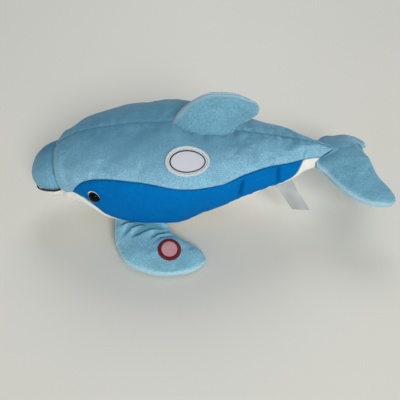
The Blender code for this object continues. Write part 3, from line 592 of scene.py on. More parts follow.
def swell(points, pinned, wrap, pressure, slack, cap):
    """How far each point of a grid moves when it is blown up as cloth, held at its seams.
    slack is the share by which the cloth is longer than the thread of the seams."""
    made = grid_mesh("swelling", points, wrap=wrap)
    group = made.vertex_groups.new(name="held")
    group.add([int(i) for i in np.flatnonzero(pinned.ravel())], 1.0, "REPLACE")
    cloth = made.modifiers.new("cloth", "CLOTH")
    settings = cloth.settings
    for name, value in CLOTH_SETTINGS.items():
        setattr(settings, name, value)
    settings.uniform_pressure_force = pressure
    settings.shrink_min = -slack
    settings.shrink_max = -slack
    settings.effector_weights.gravity = 0.0
    cloth.collision_settings.use_collision = False
    cloth.collision_settings.use_self_collision = False
    scene = bpy.context.scene
    for number in range(1, CLOTH_FRAMES + 1):
        scene.frame_set(number)
    blown = made.evaluated_get(bpy.context.evaluated_depsgraph_get()).data
    moved = np.empty(len(blown.vertices) * 3, np.float32)
    blown.vertices.foreach_get("co", moved)
    moved = moved.reshape(points.shape).astype(float) - points
    scene.frame_set(1)
    bpy.data.objects.remove(made, do_unlink=True)
    length = np.linalg.norm(moved, axis=-1, keepdims=True)
    return moved * cap * np.tanh(length / cap) / np.maximum(length, 1e-9)


# Materials

def to_linear(colour):
    """Linear RGBA of an sRGB colour from 0 to 255."""
    return (*(c / 255 / 12.92 if c < 11 else ((c / 255 + 0.055) / 1.055) ** 2.4 for c in colour), 1.0)


class Shader:
    """A material's nodes, with short ways to add and join them."""

    def __init__(self, name, colour, roughness, **look):
        self.material = bpy.data.materials.new(name)
        self.material.use_nodes = True
        self.tree = self.material.node_tree
        self.main = self.tree.nodes["Principled BSDF"]
        self.colour = to_linear(colour)
        self.place = self.add("ShaderNodeTexCoord").outputs["Object"]
        self.look(base_color=self.colour, roughness=roughness, **look)

    def look(self, **inputs):
        """Sets inputs of the main node, named in lower case with underscores."""
        sockets = {socket.name.lower().replace(" ", "_"): socket.name for socket in self.main.inputs}
        self.feed(self.main, {sockets[name]: value for name, value in inputs.items()})

    def feed(self, node, inputs):
        """Sets a node's inputs, or joins them to the outputs of other nodes."""
        for name, value in inputs.items():
            if isinstance(value, bpy.types.NodeSocket):
                self.tree.links.new(value, node.inputs[name])
            else:
                node.inputs[name].default_value = value

    def add(self, kind, inputs=None, **values):
        node = self.tree.nodes.new(kind)
        for name, value in values.items():
            setattr(node, name, value)
        self.feed(node, inputs or {})
        return node

    def noise(self, scale, detail=2.0, rough=0.5, stretch=None):
        place = self.place
        if stretch:
            place = self.add("ShaderNodeMapping", {"Vector": place, "Scale": stretch}).outputs[0]
        return self.add("ShaderNodeTexNoise", {
            "Vector": place, "Scale": scale, "Detail": detail, "Roughness": rough,
        }).outputs["Fac"]

    def ramp(self, value, low, high, first, last):
        return self.add("ShaderNodeMapRange", {
            "Value": value, "From Min": low, "From Max": high, "To Min": first, "To Max": last,
        }).outputs["Result"]

    def math(self, operation, *values):
        return self.add("ShaderNodeMath", dict(enumerate(values)), operation=operation).outputs[0]

    def plus(self, first, second, share=1.0):
        """first and a share of second."""
        return self.math("MULTIPLY_ADD", second, share, first)

    def mix(self, factor, first, second):
        return self.add("ShaderNodeMix", {0: factor, 6: first, 7: second}, data_type="RGBA").outputs[2]

    def shade(self, value, low, high, darker, lighter):
        """Base colour that runs with value from darker to lighter, as shares of the colour."""
        dark, light = (
            (*(min(c * share, 1.0) for c in self.colour[:3]), 1.0) for share in (darker, lighter)
        )
        return self.mix(self.ramp(value, low, high, 0.0, 1.0), dark, light)

    def bump(self, height, strength, distance):
        inputs = {"Height": height, "Strength": strength, "Distance": distance}
        normal = self.main.inputs["Normal"]
        if normal.is_linked:
            inputs["Normal"] = normal.links[0].from_socket
        self.look(normal=self.add("ShaderNodeBump", inputs).outputs["Normal"])

    def sheen(self, weight, roughness, tint=(255, 255, 255)):
        self.look(sheen_weight=weight, sheen_roughness=roughness, sheen_tint=to_linear(tint))

    def uv(self):
        """The cloth's two UV axes, in metres."""
        place = self.add("ShaderNodeUVMap", uv_map="cloth").outputs["UV"]
        return self.add("ShaderNodeSeparateXYZ", {"Vector": place}).outputs

    def ribs(self, place, pitch):
        return self.math("SINE", self.math("MULTIPLY", place, FULL_TURN / pitch))


def velour(name, colour, tint, mottle, nap_and_shade, sheen):
    """Short plush pile: fine tufts, patches where the pile lies another way, and a soft sheen.
    The pile is brushed down the sides, so it looks darker where it faces up and forward; that
    darkening is partly painted shade. Painted shade also darkens seams and creases, and a painted
    sheen rim pales the fins' edges."""
    s = Shader(name, colour, 0.95, specular_ior_level=0.05)
    brushed = s.noise(46.0, 3.0, 0.55, stretch=(1.0, 1.6, 1.6))
    tufts = s.noise(1500.0, 2.0, 0.6)
    streaks = s.noise(950.0, 2.0, 0.6, stretch=(0.8, 1.1, 1.1))
    both = s.plus(s.math("MULTIPLY", brushed, 0.22), streaks, 0.78)
    soft = s.shade(both, 0.38, 0.62, 1.0 - mottle, 1.0 + mottle)
    # Painted shade: the colour darkens where the surface faces up and forward, partly for the pile's
    # nap
    normal = s.add("ShaderNodeNewGeometry").outputs["Normal"]
    facing = s.add("ShaderNodeVectorMath", {0: normal, 1: NAP_AND_SHADE_DIRECTION}, operation="DOT_PRODUCT")
    turned = s.plus(facing.outputs["Value"], brushed, 0.25)
    shaded = (*(c * share for c, share in zip(s.colour, SHADE_AND_NAP_SHARES)), 1.0)
    nap_and_painted_shade = s.mix(s.ramp(turned, 0.50, 1.10, 0.0, nap_and_shade), soft, shaded)
    seam = s.add("ShaderNodeAttribute", attribute_name="seam").outputs["Fac"]
    # Painted shade along seams, where the pile also parts, and in creases and gathers
    parted_and_shaded = s.mix(s.ramp(seam, 0.15, 0.9, 0.0, 0.95), nap_and_painted_shade, shaded)
    # Painted sheen: a pale rim in the tint where seam is below zero, along the fins' edges
    sheen_rim_colour = s.mix(s.ramp(seam, -1.0, -0.1, PAINTED_RIM_BY_SHEEN * sheen, 0.0), parted_and_shaded, to_linear(tint))
    deep = s.mix(s.ramp(tufts, 0.30, 0.62, 0.12, 0.0), sheen_rim_colour, (0.0, 0.0, 0.0, 1.0))
    s.look(base_color=deep)
    s.bump(tufts, 0.55, 0.0005)
    s.bump(streaks, 0.50, 0.0011)
    s.bump(brushed, 0.25, 0.0016)
    s.sheen(sheen, 0.30, tint)


def thread(name, colour, pitch=0.0006, roughness=0.55):
    """Satin stitch: threads side by side, seen as ribs."""
    s = Shader(name, colour, roughness)
    ribs = s.ribs(s.uv()[0], pitch)
    s.look(base_color=s.shade(s.plus(s.noise(900.0, 2.0), ribs, 0.25), 0.2, 0.85, 0.70, 1.18))
    s.bump(ribs, 0.5, 0.0002)
    s.sheen(0.05, 0.4)


def twill(name, colour):
    """Woven twill: fine diagonal ribs over the warp."""
    s = Shader(name, colour, 0.85)
    along_weft, along_warp, _ = s.uv()
    ribs = s.ribs(s.plus(along_weft, along_warp, 0.8), 0.0009)
    weave = s.plus(s.math("MULTIPLY", ribs, 0.6), s.ribs(along_warp, 0.0005), 0.4)
    s.look(base_color=s.shade(weave, -1.0, 1.0, 0.93, 1.03))
    s.bump(weave, 0.35, 0.00012)
    s.sheen(0.1, 0.5)


def satin(name, colour):
    """Thin ribbon with fine cross ribs, which lets some light through."""
    s = Shader(name, colour, 0.42, subsurface_weight=0.25, subsurface_scale=0.002)
    ribs = s.ribs(s.uv()[0], 0.0006)
    s.look(base_color=s.shade(s.plus(ribs, s.noise(120.0, 2.0)), -0.9, 1.6, 0.94, 1.03))
    s.bump(ribs, 0.2, 0.0001)
    s.sheen(0.2, 0.3)


def felt(name, colour):
    s = Shader(name, colour, 0.95)
    fibres = s.noise(700.0, 4.0, 0.7)
    s.look(base_color=s.shade(fibres, 0.3, 0.7, 0.9, 1.04))
    s.bump(fibres, 0.5, 0.0004)
    s.sheen(0.2, 0.5)


def fibre(name, colour):
    s = Shader(name, colour, 0.95)
    fibres = s.noise(260.0, 6.0, 0.7, stretch=(1.0, 3.0, 1.0))
    s.look(base_color=s.shade(fibres, 0.3, 0.7, 0.88, 1.05))
    s.bump(fibres, 0.8, 0.002)


def moulded(name, colour, roughness):
    s = Shader(name, colour, roughness)
    grain = s.noise(900.0, 3.0)
    s.look(
        base_color=s.shade(s.noise(60.0, 2.0), 0.3, 0.7, 0.96, 1.03),
        roughness=s.ramp(grain, 0.3, 0.7, roughness - 0.05, roughness + 0.06),
    )
    s.bump(grain, 0.1, 0.0001)


def eye_gloss(name, colour):
    s = Shader(name, colour, 0.08, coat_weight=0.06, coat_roughness=0.03, specular_ior_level=0.07)
    s.look(roughness=s.ramp(s.noise(240.0, 3.0), 0.35, 0.75, 0.06, 0.14))


def materials():
    # Colour, tint of the sheen and of the painted sheen rim, mottling, darkening partly by the nap and
    # partly painted shade, and sheen
    for name, *look in (
        ("light_blue_velour", (138, 191, 216), (200, 228, 240), 0.25, 0.98, 0.50),
        # The beak, fin and flipper copies of the light blue are set darker or lighter, with more or
        # less nap darkening, to the light on those parts: painted light and shade
        ("light_blue_beak_velour", (120, 174, 202), (190, 224, 240), 0.25, 0.98, 0.42),
        ("light_blue_fin_velour", (118, 172, 196), (200, 230, 242), 0.23, 0.50, 0.55),
        ("light_blue_flipper_velour", (142, 200, 219), (200, 230, 242), 0.23, 0.12, 0.55),
        ("bright_blue_velour", (0, 114, 190), (0, 130, 230), 0.12, 0.25, 0.10),
        ("white_velour", (245, 245, 240), (255, 252, 244), 0.05, 0.0, 0.35),
    ):
        velour(name, *look)
    for name, *look in (
        ("black_satin_stitch", (20, 20, 24)),
        ("navy_satin_stitch", (10, 16, 58)),
        ("red_satin_stitch", (118, 2, 12)),
        ("seam_thread", (62, 108, 136)),
        ("patch_overlock", (218, 232, 235), 0.0007, 0.7),
    ):
        thread(name, *look)
    twill("patch_twill", (206, 209, 216))
    twill("press_twill", (204, 152, 154))
    satin("ribbon_satin", (174, 182, 183))
    felt("white_felt", (232, 232, 228))
    fibre("polyester_filling", (240, 240, 236))
    moulded("washer_plastic", (228, 228, 226), 0.4)
    moulded("puck_plastic", (40, 40, 42), 0.45)
    eye_gloss("eye_gloss", (5, 6, 6))


# Body panels

def steps_for(length, step):
    return max(int(round(length / step)), 4)


def puckers(run, far, seed, length, start, reach):
    """Ripples along a seam, from a little beside it to their reach."""
    return PUCKER * ripples(run, length, seed) * np.exp(-far / reach) * (1 - bell(far, start))


def panel_places(x, v, edges):
    """Stations, angles and the distances to both seams, for a column of x and a row of v."""
    x = x[:, None]
    low, high = (edge(x) for edge in edges)
    angle = low + (high - low) * v[None, :]
    rate = arc_rate(x, angle)
    return x, angle, np.abs(angle - low) * rate, np.abs(high - angle) * rate


def panel_points(x, v, edges, side, seed=None, lift=0.0):
    """Points of a panel. x is a column of stations and v a row of shares between its edges.
    With a seed the points have the seam's groove, puckers and the cloth's small creases."""
    x, angle, *apart = panel_places(x, v, edges)
    dips, grooves = (
        np.minimum(sum(bell(far, reach) for far in apart), 1.0)
        for reach in (SEAM_DIP_REACH, GROOVE_REACH)
    )
    depth = lift - SEAM_DIP * dips
    if seed is not None:
        depth = depth - GROOVE * grooves
        for number, far in enumerate(apart, 1):
            depth = depth + puckers(
                x + far * PUCKER_SHEAR, far, seed * 10 + number, PUCKER_LENGTH, PUCKER_START,
                PUCKER_REACH,
            )
        depth = depth - fold_depth(x, angle, CLOTH_CREASES)
        places = raw_points(x, side * angle)
        lumps = waves(places, LUMP_LENGTH, seed + 50)
        lumps = lumps + SMALL_LUMP_SHARE * waves(places, LUMP_LENGTH / 3, seed + 80)
        depth = depth + LUMP * lumps * calm(places, side)
    return body_points(x, side * angle, depth)


def shares(count):
    """Shares from 0 to 1, closer near both edges, where the seams' grooves are."""
    even = np.linspace(0.0, 1.0, count + 1)
    return even - SEAM_CROWDING * np.sin(FULL_TURN * even)


def sewn_panel(name, node, material, slot, span, edges, side, seed, fill, stations=()):
    """A velour panel between two seams, swelled by its filling, with its edges turned in."""
    start, end = span
    length = end - start
    measured = np.array([start, (start + end) / 2, end])
    width = float(np.max(edges[1](measured) - edges[0](measured))) * BODY_RADIUS
    coarse_x = np.linspace(start, end, steps_for(length, COARSE_STEP) + 1)
    coarse_v = np.linspace(0.0, 1.0, steps_for(width, COARSE_STEP) + 1)
    base = panel_points(coarse_x, coarse_v, edges, side, lift=-PANEL_START_DEPTH)
    pinned = np.ones(base.shape[:2], bool)
    pinned[1:-1, 1:-1] = False
    moved = swell(base[:, ::side], pinned, False, *PANEL_CLOTH)[:, ::side]
    fine_x = np.linspace(start, end, steps_for(length, FINE_STEP) + 1)
    fine_x = np.unique(np.concatenate([fine_x, stations]))
    fine_v = shares(steps_for(width, FINE_STEP))
    rows = (fine_x - start) / length * (len(coarse_x) - 1)
    columns = fine_v * (len(coarse_v) - 1)
    points = panel_points(fine_x, fine_v, edges, side, seed)
    points = points + refined(moved, rows, columns) * calm(points, side)[..., None]
    _, angles, to_low, to_high = panel_places(fine_x, fine_v, edges)
    # A darker line along the seams, partly parted pile and partly painted shade of the groove, and
    # painted shade in the creases
    low_line = SEAM_LINE if edges[0] is centre_line else BAND_SEAM_LINE
    seam = np.maximum(bell(to_low, low_line), bell(to_high, BAND_SEAM_LINE))
    creased = fold_depth(fine_x[:, None], angles, CLOTH_CREASES) / CREASE_FULL_DEPTH
    seam = np.maximum(seam, np.clip(creased, 0.0, CREASE_MOST_SHADE))
    seam = np.pad(seam, ((0, 0), (1, 1)), constant_values=1.0)
    # The seam allowance: one more column at each edge, turned in between the cloths
    tucked = [body_points(fine_x, side * edge(fine_x), -SEAM_TUCK)[:, None] for edge in edges]
    points = np.concatenate([tucked[0], points, tucked[1]], axis=1)
    # The cloth lies flat on the floor
    points[..., 2] = np.maximum(points[..., 2], FLOOR_GAP)
    if end == TAIL_APEX_X:
        last_angles = np.linspace(edges[0](end), edges[1](end), len(fine_v)) * side
        last = points[-1].copy()
        last[1:-1] -= normals_at(end, last_angles) * SEAM_TUCK
        points = np.concatenate([points, last[None]], axis=0)
        seam = np.pad(seam, ((0, 1), (0, 0)), constant_values=1.0)
    points, seam = points[:, ::side], seam[:, ::side]
    return piece(name, points, material, slot, node, fill, seam=seam)


def body():
    backs = {}
    band_span = (BAND_EDGE[0][0] + POINT_GAP, BAND_EDGE[-1][0] - POINT_GAP)
    for side, word in SIDES:
        backs[side] = sewn_panel(
            f"velour_back_{word}", f"back_panel_{word}", "light_blue_velour", "light_blue_plush",
            (BEAK_SEAM_X, TAIL_APEX_X), (centre_line, band_edge), side, 3 + side, 0.85,
        )
        sewn_panel(
            f"velour_band_{word}", f"side_band_{word}", "bright_blue_velour", "bright_blue_plush",
            band_span, (band_edge, white_edge), side, 13 + side, 0.85,
        )
    sewn_panel(
        "velour_belly", "belly_panel", "white_velour", "white_plush", (JAW_START_X, TAIL_APEX_X),
        (white_edge, far_white_edge), LEFT, 21, 0.8, np.linspace(JAW_START_X, JAW_FINE_END_X, 14),
    )
    beak()
    filling()
    x = np.linspace(BACK_STITCH_START_X, TAIL_APEX_X - 0.002, 60)
    stitches("back_seam_stitches", body_points(x, 0.0, -SEAM_DIP), backs[LEFT], *BACK_STITCH)


def nose_stations(first, last, count):
    """Stations on the round tip of the nose, between two turns from its foremost point."""
    return NOSE_TIP_X + (NOSE_ROUND_X - NOSE_TIP_X) * (1 - np.cos(np.linspace(first, last, count)))


def beak():
    """Upper beak, one round cap from the tip of the nose back to its seam with the head."""
    mouth_x = MOUTH_EDGE[0][0]
    nose = nose_stations(0.0, math.pi / 2, 26)
    x = np.unique(np.concatenate([nose, np.linspace(NOSE_ROUND_X, BEAK_SEAM_X, 18)]))[:, None]
    low = np.where(x < mouth_x, math.pi, white_edge(x))
    angle = low * np.linspace(-1.0, 1.0, 97)[None, :]
    lip = (low - np.abs(angle)) * arc_rate(x, angle)
    on_lip = np.where(x < mouth_x - LIP_START, 0.0, 1.0)
    back = BEAK_SEAM_X - x
    lip_dip = SEAM_DIP * bell(lip, SEAM_DIP_REACH)
    lip_dip = lip_dip + GROOVE * LIP_GROOVE_SHARE * bell(lip, GROOVE_REACH)
    depth = -lip_dip * on_lip - GROOVE * bell(back, GROOVE_REACH)
    side = np.sin(np.clip(np.abs(angle) - BEAK_CREASE_FROM, 0.0, math.pi))
    depth = depth - BEAK_CREASE * bell(back - BEAK_CREASE_BACK, BEAK_CREASE_REACH) * side
    wave = ripples(angle * BEAK_RADIUS, BEAK_PUCKER_LENGTH, 91)
    depth = depth + BEAK_PUCKER * wave * np.exp(-back / BEAK_PUCKER_REACH)
    places = raw_points(x, angle)
    depth = depth + LUMP * BEAK_LUMP_SHARE * waves(places, LUMP_LENGTH * BEAK_LUMP_SHARE, 92)
    points = body_points(x, angle, depth)
    points[0] = points[0].mean(axis=0)
    # The cloth turned in along the lips and at the seam with the head
    lips = body_points(x, low * [-1, 1], np.where(x < mouth_x, 0.0, -SEAM_TUCK))
    lips[0] = points[0, 0]
    points = np.concatenate([lips[:, :1], points, lips[:, 1:]], axis=1)
    tuck = body_points(BEAK_SEAM_X, angle[-1], -SEAM_TUCK)
    points = np.concatenate([points, np.pad(tuck, ((1, 1), (0, 0)), mode="edge")[None]], axis=0)
    # Darker line along the beak's seams: parted pile and painted shade of the groove
    seam = np.maximum(bell(back, SEAM_LINE), bell(lip, SEAM_LINE) * on_lip)
    seam = np.pad(seam, ((0, 1), (1, 1)), mode="edge")
    piece("velour_beak", points, "light_blue_beak_velour", "light_blue_plush", "beak_cover", 0.9,
          weld=True, seam=seam)


def filling():
    """Loose polyester filling inside the panels, lower where the cloth has creases."""
    x = np.concatenate([
        nose_stations(0.2, 1.4, 6), np.linspace(NOSE_ROUND_X, TAIL_APEX_X - 0.004, 70),
    ])[:, None]
    angle = circle(60)[None, :]
    lumps = np.clip(waves(raw_points(x, angle), FIBRE_LUMP_LENGTH, 7), -1.2, 1.2)
    creases = fold_depth(x, np.minimum(angle, FULL_TURN - angle), CLOTH_CREASES)
    depth = FIBRE_LUMP * lumps - STUFFING_DEPTH - FIBRE_DEPTH - FIBRE_CREASE_SHARE * creases
    points = closed_ends(body_points(x, angle, depth))
    piece("fibre_filling", points, "polyester_filling", "stuffing", "stuffing", 0.85,
          wrap=True, weld=True)


# Stuffed fins: two cloth halves sewn at their edge

def plump(c):
    """Share of the full thickness at a share c of the chord."""
    return EDGE_PLUMPNESS + (1 - EDGE_PLUMPNESS) * (1 - np.abs(2 * c - 1) ** 2.4) ** 0.55


def sections_at(sections, t, c):
    """Both places at a share c of the chord at t, and the section's two last values there."""
    knots = np.linspace(0.0, 1.0, len(sections))
    flat = np.array([[*s[0], *s[1], *s[2:]] for s in sections], float).T
    front_x, front_y, rear_x, rear_y, *rest = (curve_at(t, knots, row) for row in flat)
    return front_x + (rear_x - front_x) * c, front_y + (rear_y - front_y) * c, *rest


def fin_points(t, c, s, swollen):
    x, z, thick, lean = sections_at(FIN_SECTIONS, t, c)
    return np.stack(np.broadcast_arrays(x, -lean - s * thick * swollen * plump(c), z), -1)


def crease_depth(x, y, folds):
    """Depth of curved folds, each a line of places that fades at both ends."""
    depth = 0.0
    for line, deep, reach in folds:
        steps = [math.dist(a, b) for a, b in zip(line, line[1:])]
        nearest = np.full(np.broadcast(x, y).shape, np.inf)
        fade = np.zeros(nearest.shape)
        run = 0.0
        for (ax, ay), (bx, by), step in zip(line, line[1:], steps):
            share = np.clip(((x - ax) * (bx - ax) + (y - ay) * (by - ay)) / step**2, 0, 1)
            far = np.hypot(x - ax - share * (bx - ax), y - ay - share * (by - ay))
            passed = (run + share * step) / sum(steps)
            fade = np.where(far < nearest, np.minimum(passed, 1 - passed), fade)
            nearest = np.minimum(far, nearest)
            run += step
        shown = FOLD_END_SHARE + (1 - FOLD_END_SHARE) * smooth_step(fade / FOLD_END_FADE)
        depth = depth + deep * bell(nearest, reach) * shown
    return depth


def flipper_points(side):
    """Gives the function of the places on the flipper of that side."""
    def place(t, c, s, swollen):
        x, y, seam, thick = sections_at(FLIPPER_SECTIONS, t, c)
        z = seam + s * thick * swollen * plump(c)
        rise = -crease_depth(x, y, FLIPPER_FOLDS + FLIPPER_PUFFS)
        if side == LEFT:
            far = np.hypot(x - PRESS_X, y - PRESS_Y)
            rise = rise + PRESS_TILT * (y - PRESS_Y) * bell(far, PRESS_TILT_REACH)
        z = np.where(s > 0, z + rise, z)
        return np.stack(np.broadcast_arrays(x, y * side, np.maximum(z, FLOOR_GAP)), -1)

    return place


def fluke_points(t, c, s, swollen):
    x, y, seam, thick = sections_at(FLUKE_SECTIONS, np.abs(t), c)
    across = np.minimum(y / FLUKE_ROOT_HALF_WIDTH, 1.0)
    height = np.maximum(thick * swollen * plump(c), thick * (1 - c) * np.sqrt(1 - across**2))
    # Inside the tail's V the root narrows, so that it stays under the panels
    inside = (TAIL_APEX_X - TAIL_VEE_SLOPE * y - x) / math.hypot(1.0, TAIL_VEE_SLOPE)
    narrow = smooth_step((inside - FLUKE_NARROW_FROM) / FLUKE_NARROW_REACH)
    height = height * (1 - FLUKE_NARROW_SHARE * narrow)
    x, y = np.broadcast_arrays(x - TAIL_APEX_X, np.sign(t) * y)
    z = seam + s * height - FLUKE_DROOP * np.maximum(t, 0.0) ** 2
    turned_x = TAIL_APEX_X + x * math.cos(FLUKE_TURN) - y * math.sin(FLUKE_TURN)
    turned_y = x * math.sin(FLUKE_TURN) + y * math.cos(FLUKE_TURN)
    z = np.where(s > 0, z - crease_depth(turned_x, turned_y, FLUKE_FOLDS), z)
    return np.stack(np.broadcast_arrays(turned_x, turned_y, z), -1)


def pillow_grid(place, t, columns, swollen):
    """Rings round a stuffed form: over its upper face, round the rear seam and back below."""
    chords = (1 - np.cos(math.pi * np.arange(columns + 1) / columns)) / 2
    c = np.concatenate([chords, chords[::-1]])
    s = np.repeat([1.0, -1.0], columns + 1)
    return place(t[:, None], c[None, :], s[None, :], swollen), c, s


def stuffed(name, node, place, start, columns, rows, held_root, seed, fill,
            cloth="light_blue_fin_velour", folds=()):
    """A stuffed fin: its coarse form swells as cloth, then the fine one gets its sewn edge.
    Gives the piece and the line of its front seam."""
    base, _, _ = pillow_grid(place, np.linspace(start, 1.0, rows + 1), columns, COARSE_SWOLLEN)
    pinned = np.zeros(base.shape[:2], bool)
    pinned[:, [0, columns, columns + 1, -1]] = True
    pinned[[0, -1]] = True
    pinned[held_root] = True
    moved = swell(base, pinned, True, *FIN_CLOTH)
    fine_t = np.linspace(start, 1.0, rows * FIN_REFINING + 1)
    half = columns * FIN_REFINING + 1
    points, c, s = pillow_grid(place, fine_t, half - 1, FINE_SWOLLEN)
    down = (fine_t - start) / (1.0 - start) * rows
    over = np.arange(half) / FIN_REFINING
    faces = (moved[:, : columns + 1], moved[:, columns + 1:])
    points = points + np.concatenate([refined(face, down, over) for face in faces], axis=1)
    # Lumps of filling and puckers at the edge's seam
    out = np.cross(np.gradient(points, axis=0), np.gradient(points, axis=1))
    out /= np.maximum(np.linalg.norm(out, axis=-1, keepdims=True), 1e-12)
    if (out[:, :half] * (points[:, :half] - points.mean(axis=(0, 1)))).sum() < 0:
        out = -out
    chord = np.linalg.norm(points[:, 0] - points[:, half - 1], axis=-1)[:, None]
    front, rear = c[None, :] * chord, (1 - c[None, :]) * chord
    run = run_along(points[:, 0])[:, None]
    lift = LUMP * waves(points, LUMP_LENGTH * 0.8, seed)
    for number, far in enumerate((front, rear), 1):
        lift = lift - EDGE_DIP * bell(far, EDGE_DIP_REACH)
        lift = lift + puckers(
            run, far, seed + number, EDGE_PUCKER_LENGTH, EDGE_PUCKER_START, EDGE_PUCKER_REACH,
        )
    points = points + out * lift[..., None]
    points[..., 2] = np.maximum(points[..., 2], FLOOR_GAP)
    # Painted sheen rim along the edge seams
    seam = -bell(np.minimum(front, rear), EDGE_SHEEN_RIM)
    # Painted shade in the gathers on the upper face
    if folds:
        parted_and_shaded = crease_depth(points[..., 0], -np.abs(points[..., 1]), folds) / FOLD_FULL_DEPTH
        seam = np.where(s > 0, seam + np.clip(parted_and_shaded, 0.0, FOLD_MOST_SHADE), seam)
    # The seam itself, drawn in between the two halves at the front and the rear
    front_seam = (points[:, 0] + points[:, -1]) / 2
    rear_seam = (points[:, half - 1] + points[:, half]) / 2
    inward = rear_seam - front_seam
    length = np.maximum(np.linalg.norm(inward, axis=-1, keepdims=True), 1e-9)
    inward = inward / length * np.minimum(EDGE_TUCK, length * 0.2)
    ring = closed_ends(np.concatenate([
        (front_seam + inward)[:, None], points[:, :half],
        (rear_seam - inward)[:, None], points[:, half:],
    ], axis=1))
    # The seam's own columns get half the painted sheen rim
    seam = np.insert(seam, [0, half], -0.5, axis=1)
    seam = np.pad(seam, ((1, 1), (0, 0)), mode="edge")
    made = piece(name, ring, cloth, "light_blue_plush", node, fill, wrap=True, weld=True, seam=seam)
    return made, front_seam


def surface_of(obj):
    return BVHTree.FromObject(obj, bpy.context.evaluated_depsgraph_get())


def stitches(name, path, carrier, pitch, length, radius):
    """Small overcast stitches across a seam, in one mesh."""
    run = run_along(path)
    places = np.arange(pitch, run[-1] - pitch / 2, pitch)
    at = read_path(path, run, places)
    ahead = unit(at - read_path(path, run, places - pitch / 3))
    surface = surface_of(carrier)
    made = []
    for point, forward in zip(at, ahead):
        forward = Vector(forward)
        across = forward.cross(surface.find_nearest(Vector(point))[1]).normalized()
        lean = (across + forward * STITCH_LEAN).normalized()
        rows = []
        for turn in np.linspace(-1.0, 1.0, 7):
            found, up, *_ = surface.find_nearest(Vector(point) + lean * (turn * length / 2))
            middle = found + up * (radius * (0.7 - 1.2 * turn * turn))
            thin = radius * (1 - 0.35 * turn * turn)
            rows.append([
                tuple(middle + (up * math.sin(a) + forward * math.cos(a)) * thin)
                for a in circle(6)
            ])
        made.append(grid_mesh("stitch", np.array(rows), "seam_thread", wrap=True))
    bpy.ops.object.select_all(action="DESELECT")
    for obj in made:
        obj.select_set(True)
    bpy.context.view_layer.objects.active = made[0]
    bpy.ops.object.join()
    made[0].name = name
    dress(made[0])


def fins():
    """The dorsal fin, both flippers and the flukes. Gives the left flipper."""
    fin, front = stuffed(
        "velour_dorsal_fin", "dorsal_fin", fin_points, 0.0, 12, 14, slice(0, 2), 31, 0.8,
    )
    shown = front[front[:, 2] > FIN_STITCH_FROM_Z]
    stitches("fin_seam_stitches", shown, fin, *FIN_STITCH)
    made = {}
    for side, word in SIDES:
        made[side], _ = stuffed(
            f"velour_flipper_{word}", f"flipper_{word}", flipper_points(side), 0.0, 14, 28,
            slice(0, 4), 41 + side, 0.8, "light_blue_flipper_velour", FLIPPER_FOLDS,
        )
    stuffed("velour_flukes", "tail_flukes", fluke_points, -1.0, 12, 44, slice(19, 26), 61, 0.75)
    return made[LEFT]


# Eyes

def surface_frame(x, angle):
    """Place on the body, with X towards the tail and Z outward."""
    out = Vector(normals_at(x, angle))
    ahead = Vector(raw_points(x + 0.001, angle) - raw_points(x - 0.001, angle))
    across = out.cross(ahead).normalized()
    place = Matrix((across.cross(out), across, out)).transposed().to_4x4()
    place.translation = Vector(body_points(x, angle))
    return place


def turned_piece(name, profile, place, material, slot, node):
    """A turned piece on the Z axis of place, from (radius, height) pairs, top to bottom."""
    turn = circle(64)
    radius, height = np.array(profile, float).T[..., None]
    points = np.stack(np.broadcast_arrays(radius * np.cos(turn), radius * np.sin(turn), height), -1)
    place = np.array(place)
    points = points @ place[:3, :3].T + place[:3, 3]
    piece(name, points, material, slot, node, wrap=True, weld=True)


def eyes():
    bottom = GAP + EYE_WHITE_THICKNESS + GAP
    button = [
        (EYE_RADIUS * math.sin(a), bottom + EYE_RIM + (EYE_HEIGHT - EYE_RIM) * math.cos(a))
        for a in np.linspace(0.0, math.pi / 2, 20)
    ]
    button += [
        (EYE_RADIUS - 0.0003 * (1 - math.cos(a)), bottom + EYE_RIM * 0.5 * (1 - math.sin(a)))
        for a in np.linspace(0.0, math.pi / 2, 6)
    ]
    button += [
        (STEM_RADIUS + 0.0001, bottom), (STEM_RADIUS, bottom - 0.0005), (STEM_RADIUS, STEM_END),
        (0.0, STEM_END),
    ]
    top, under, rim = GAP + EYE_WHITE_THICKNESS, GAP - 0.0006, EYE_WHITE_RADIUS
    disc = [
        (0.0, top), (0.0030, top), (rim - 0.0004, top), (rim - 0.0001, top - 0.0002),
        (rim, top - 0.0004), (rim - 0.0001, GAP + 0.0001), (rim - 0.0006, under), (0.0, under),
    ]
    for side, word in SIDES:
        place = surface_frame(EYE_X, side * EYE_ANGLE)
        turned_piece(f"button_eye_{word}", button, place, "eye_gloss", "eye_black", f"eye_{word}")
        shift = Matrix.Translation((-EYE_WHITE_FORWARD - FELT_FORWARD, -side * FELT_LOWER, 0))
        place = place @ shift
        turned_piece(f"felt_eye_{word}", disc, place, "white_felt", "felt_white", f"eye_white_{word}")


# Patches

def oval_points(length, width, turn, lift):
    """Points of an oval on the body, round the patch's middle."""
    around = np.sin(turn) * width / 2 / arc_rate(PATCH_X, PATCH_ANGLE)
    return body_points(PATCH_X + np.cos(turn) * length / 2, PATCH_ANGLE - around, lift)


def tube_points(middle, ahead, out, radius, width=1.0):
    """Rings of a tube along a line of points. out is the outward direction at each."""
    across = unit(np.cross(ahead, out))
    turn = circle(radius.shape[1])
    return (
        middle[:, None]
        + across[:, None] * (np.cos(turn) * radius * width)[..., None]
        + out[:, None] * (np.sin(turn) * radius)[..., None]
    )


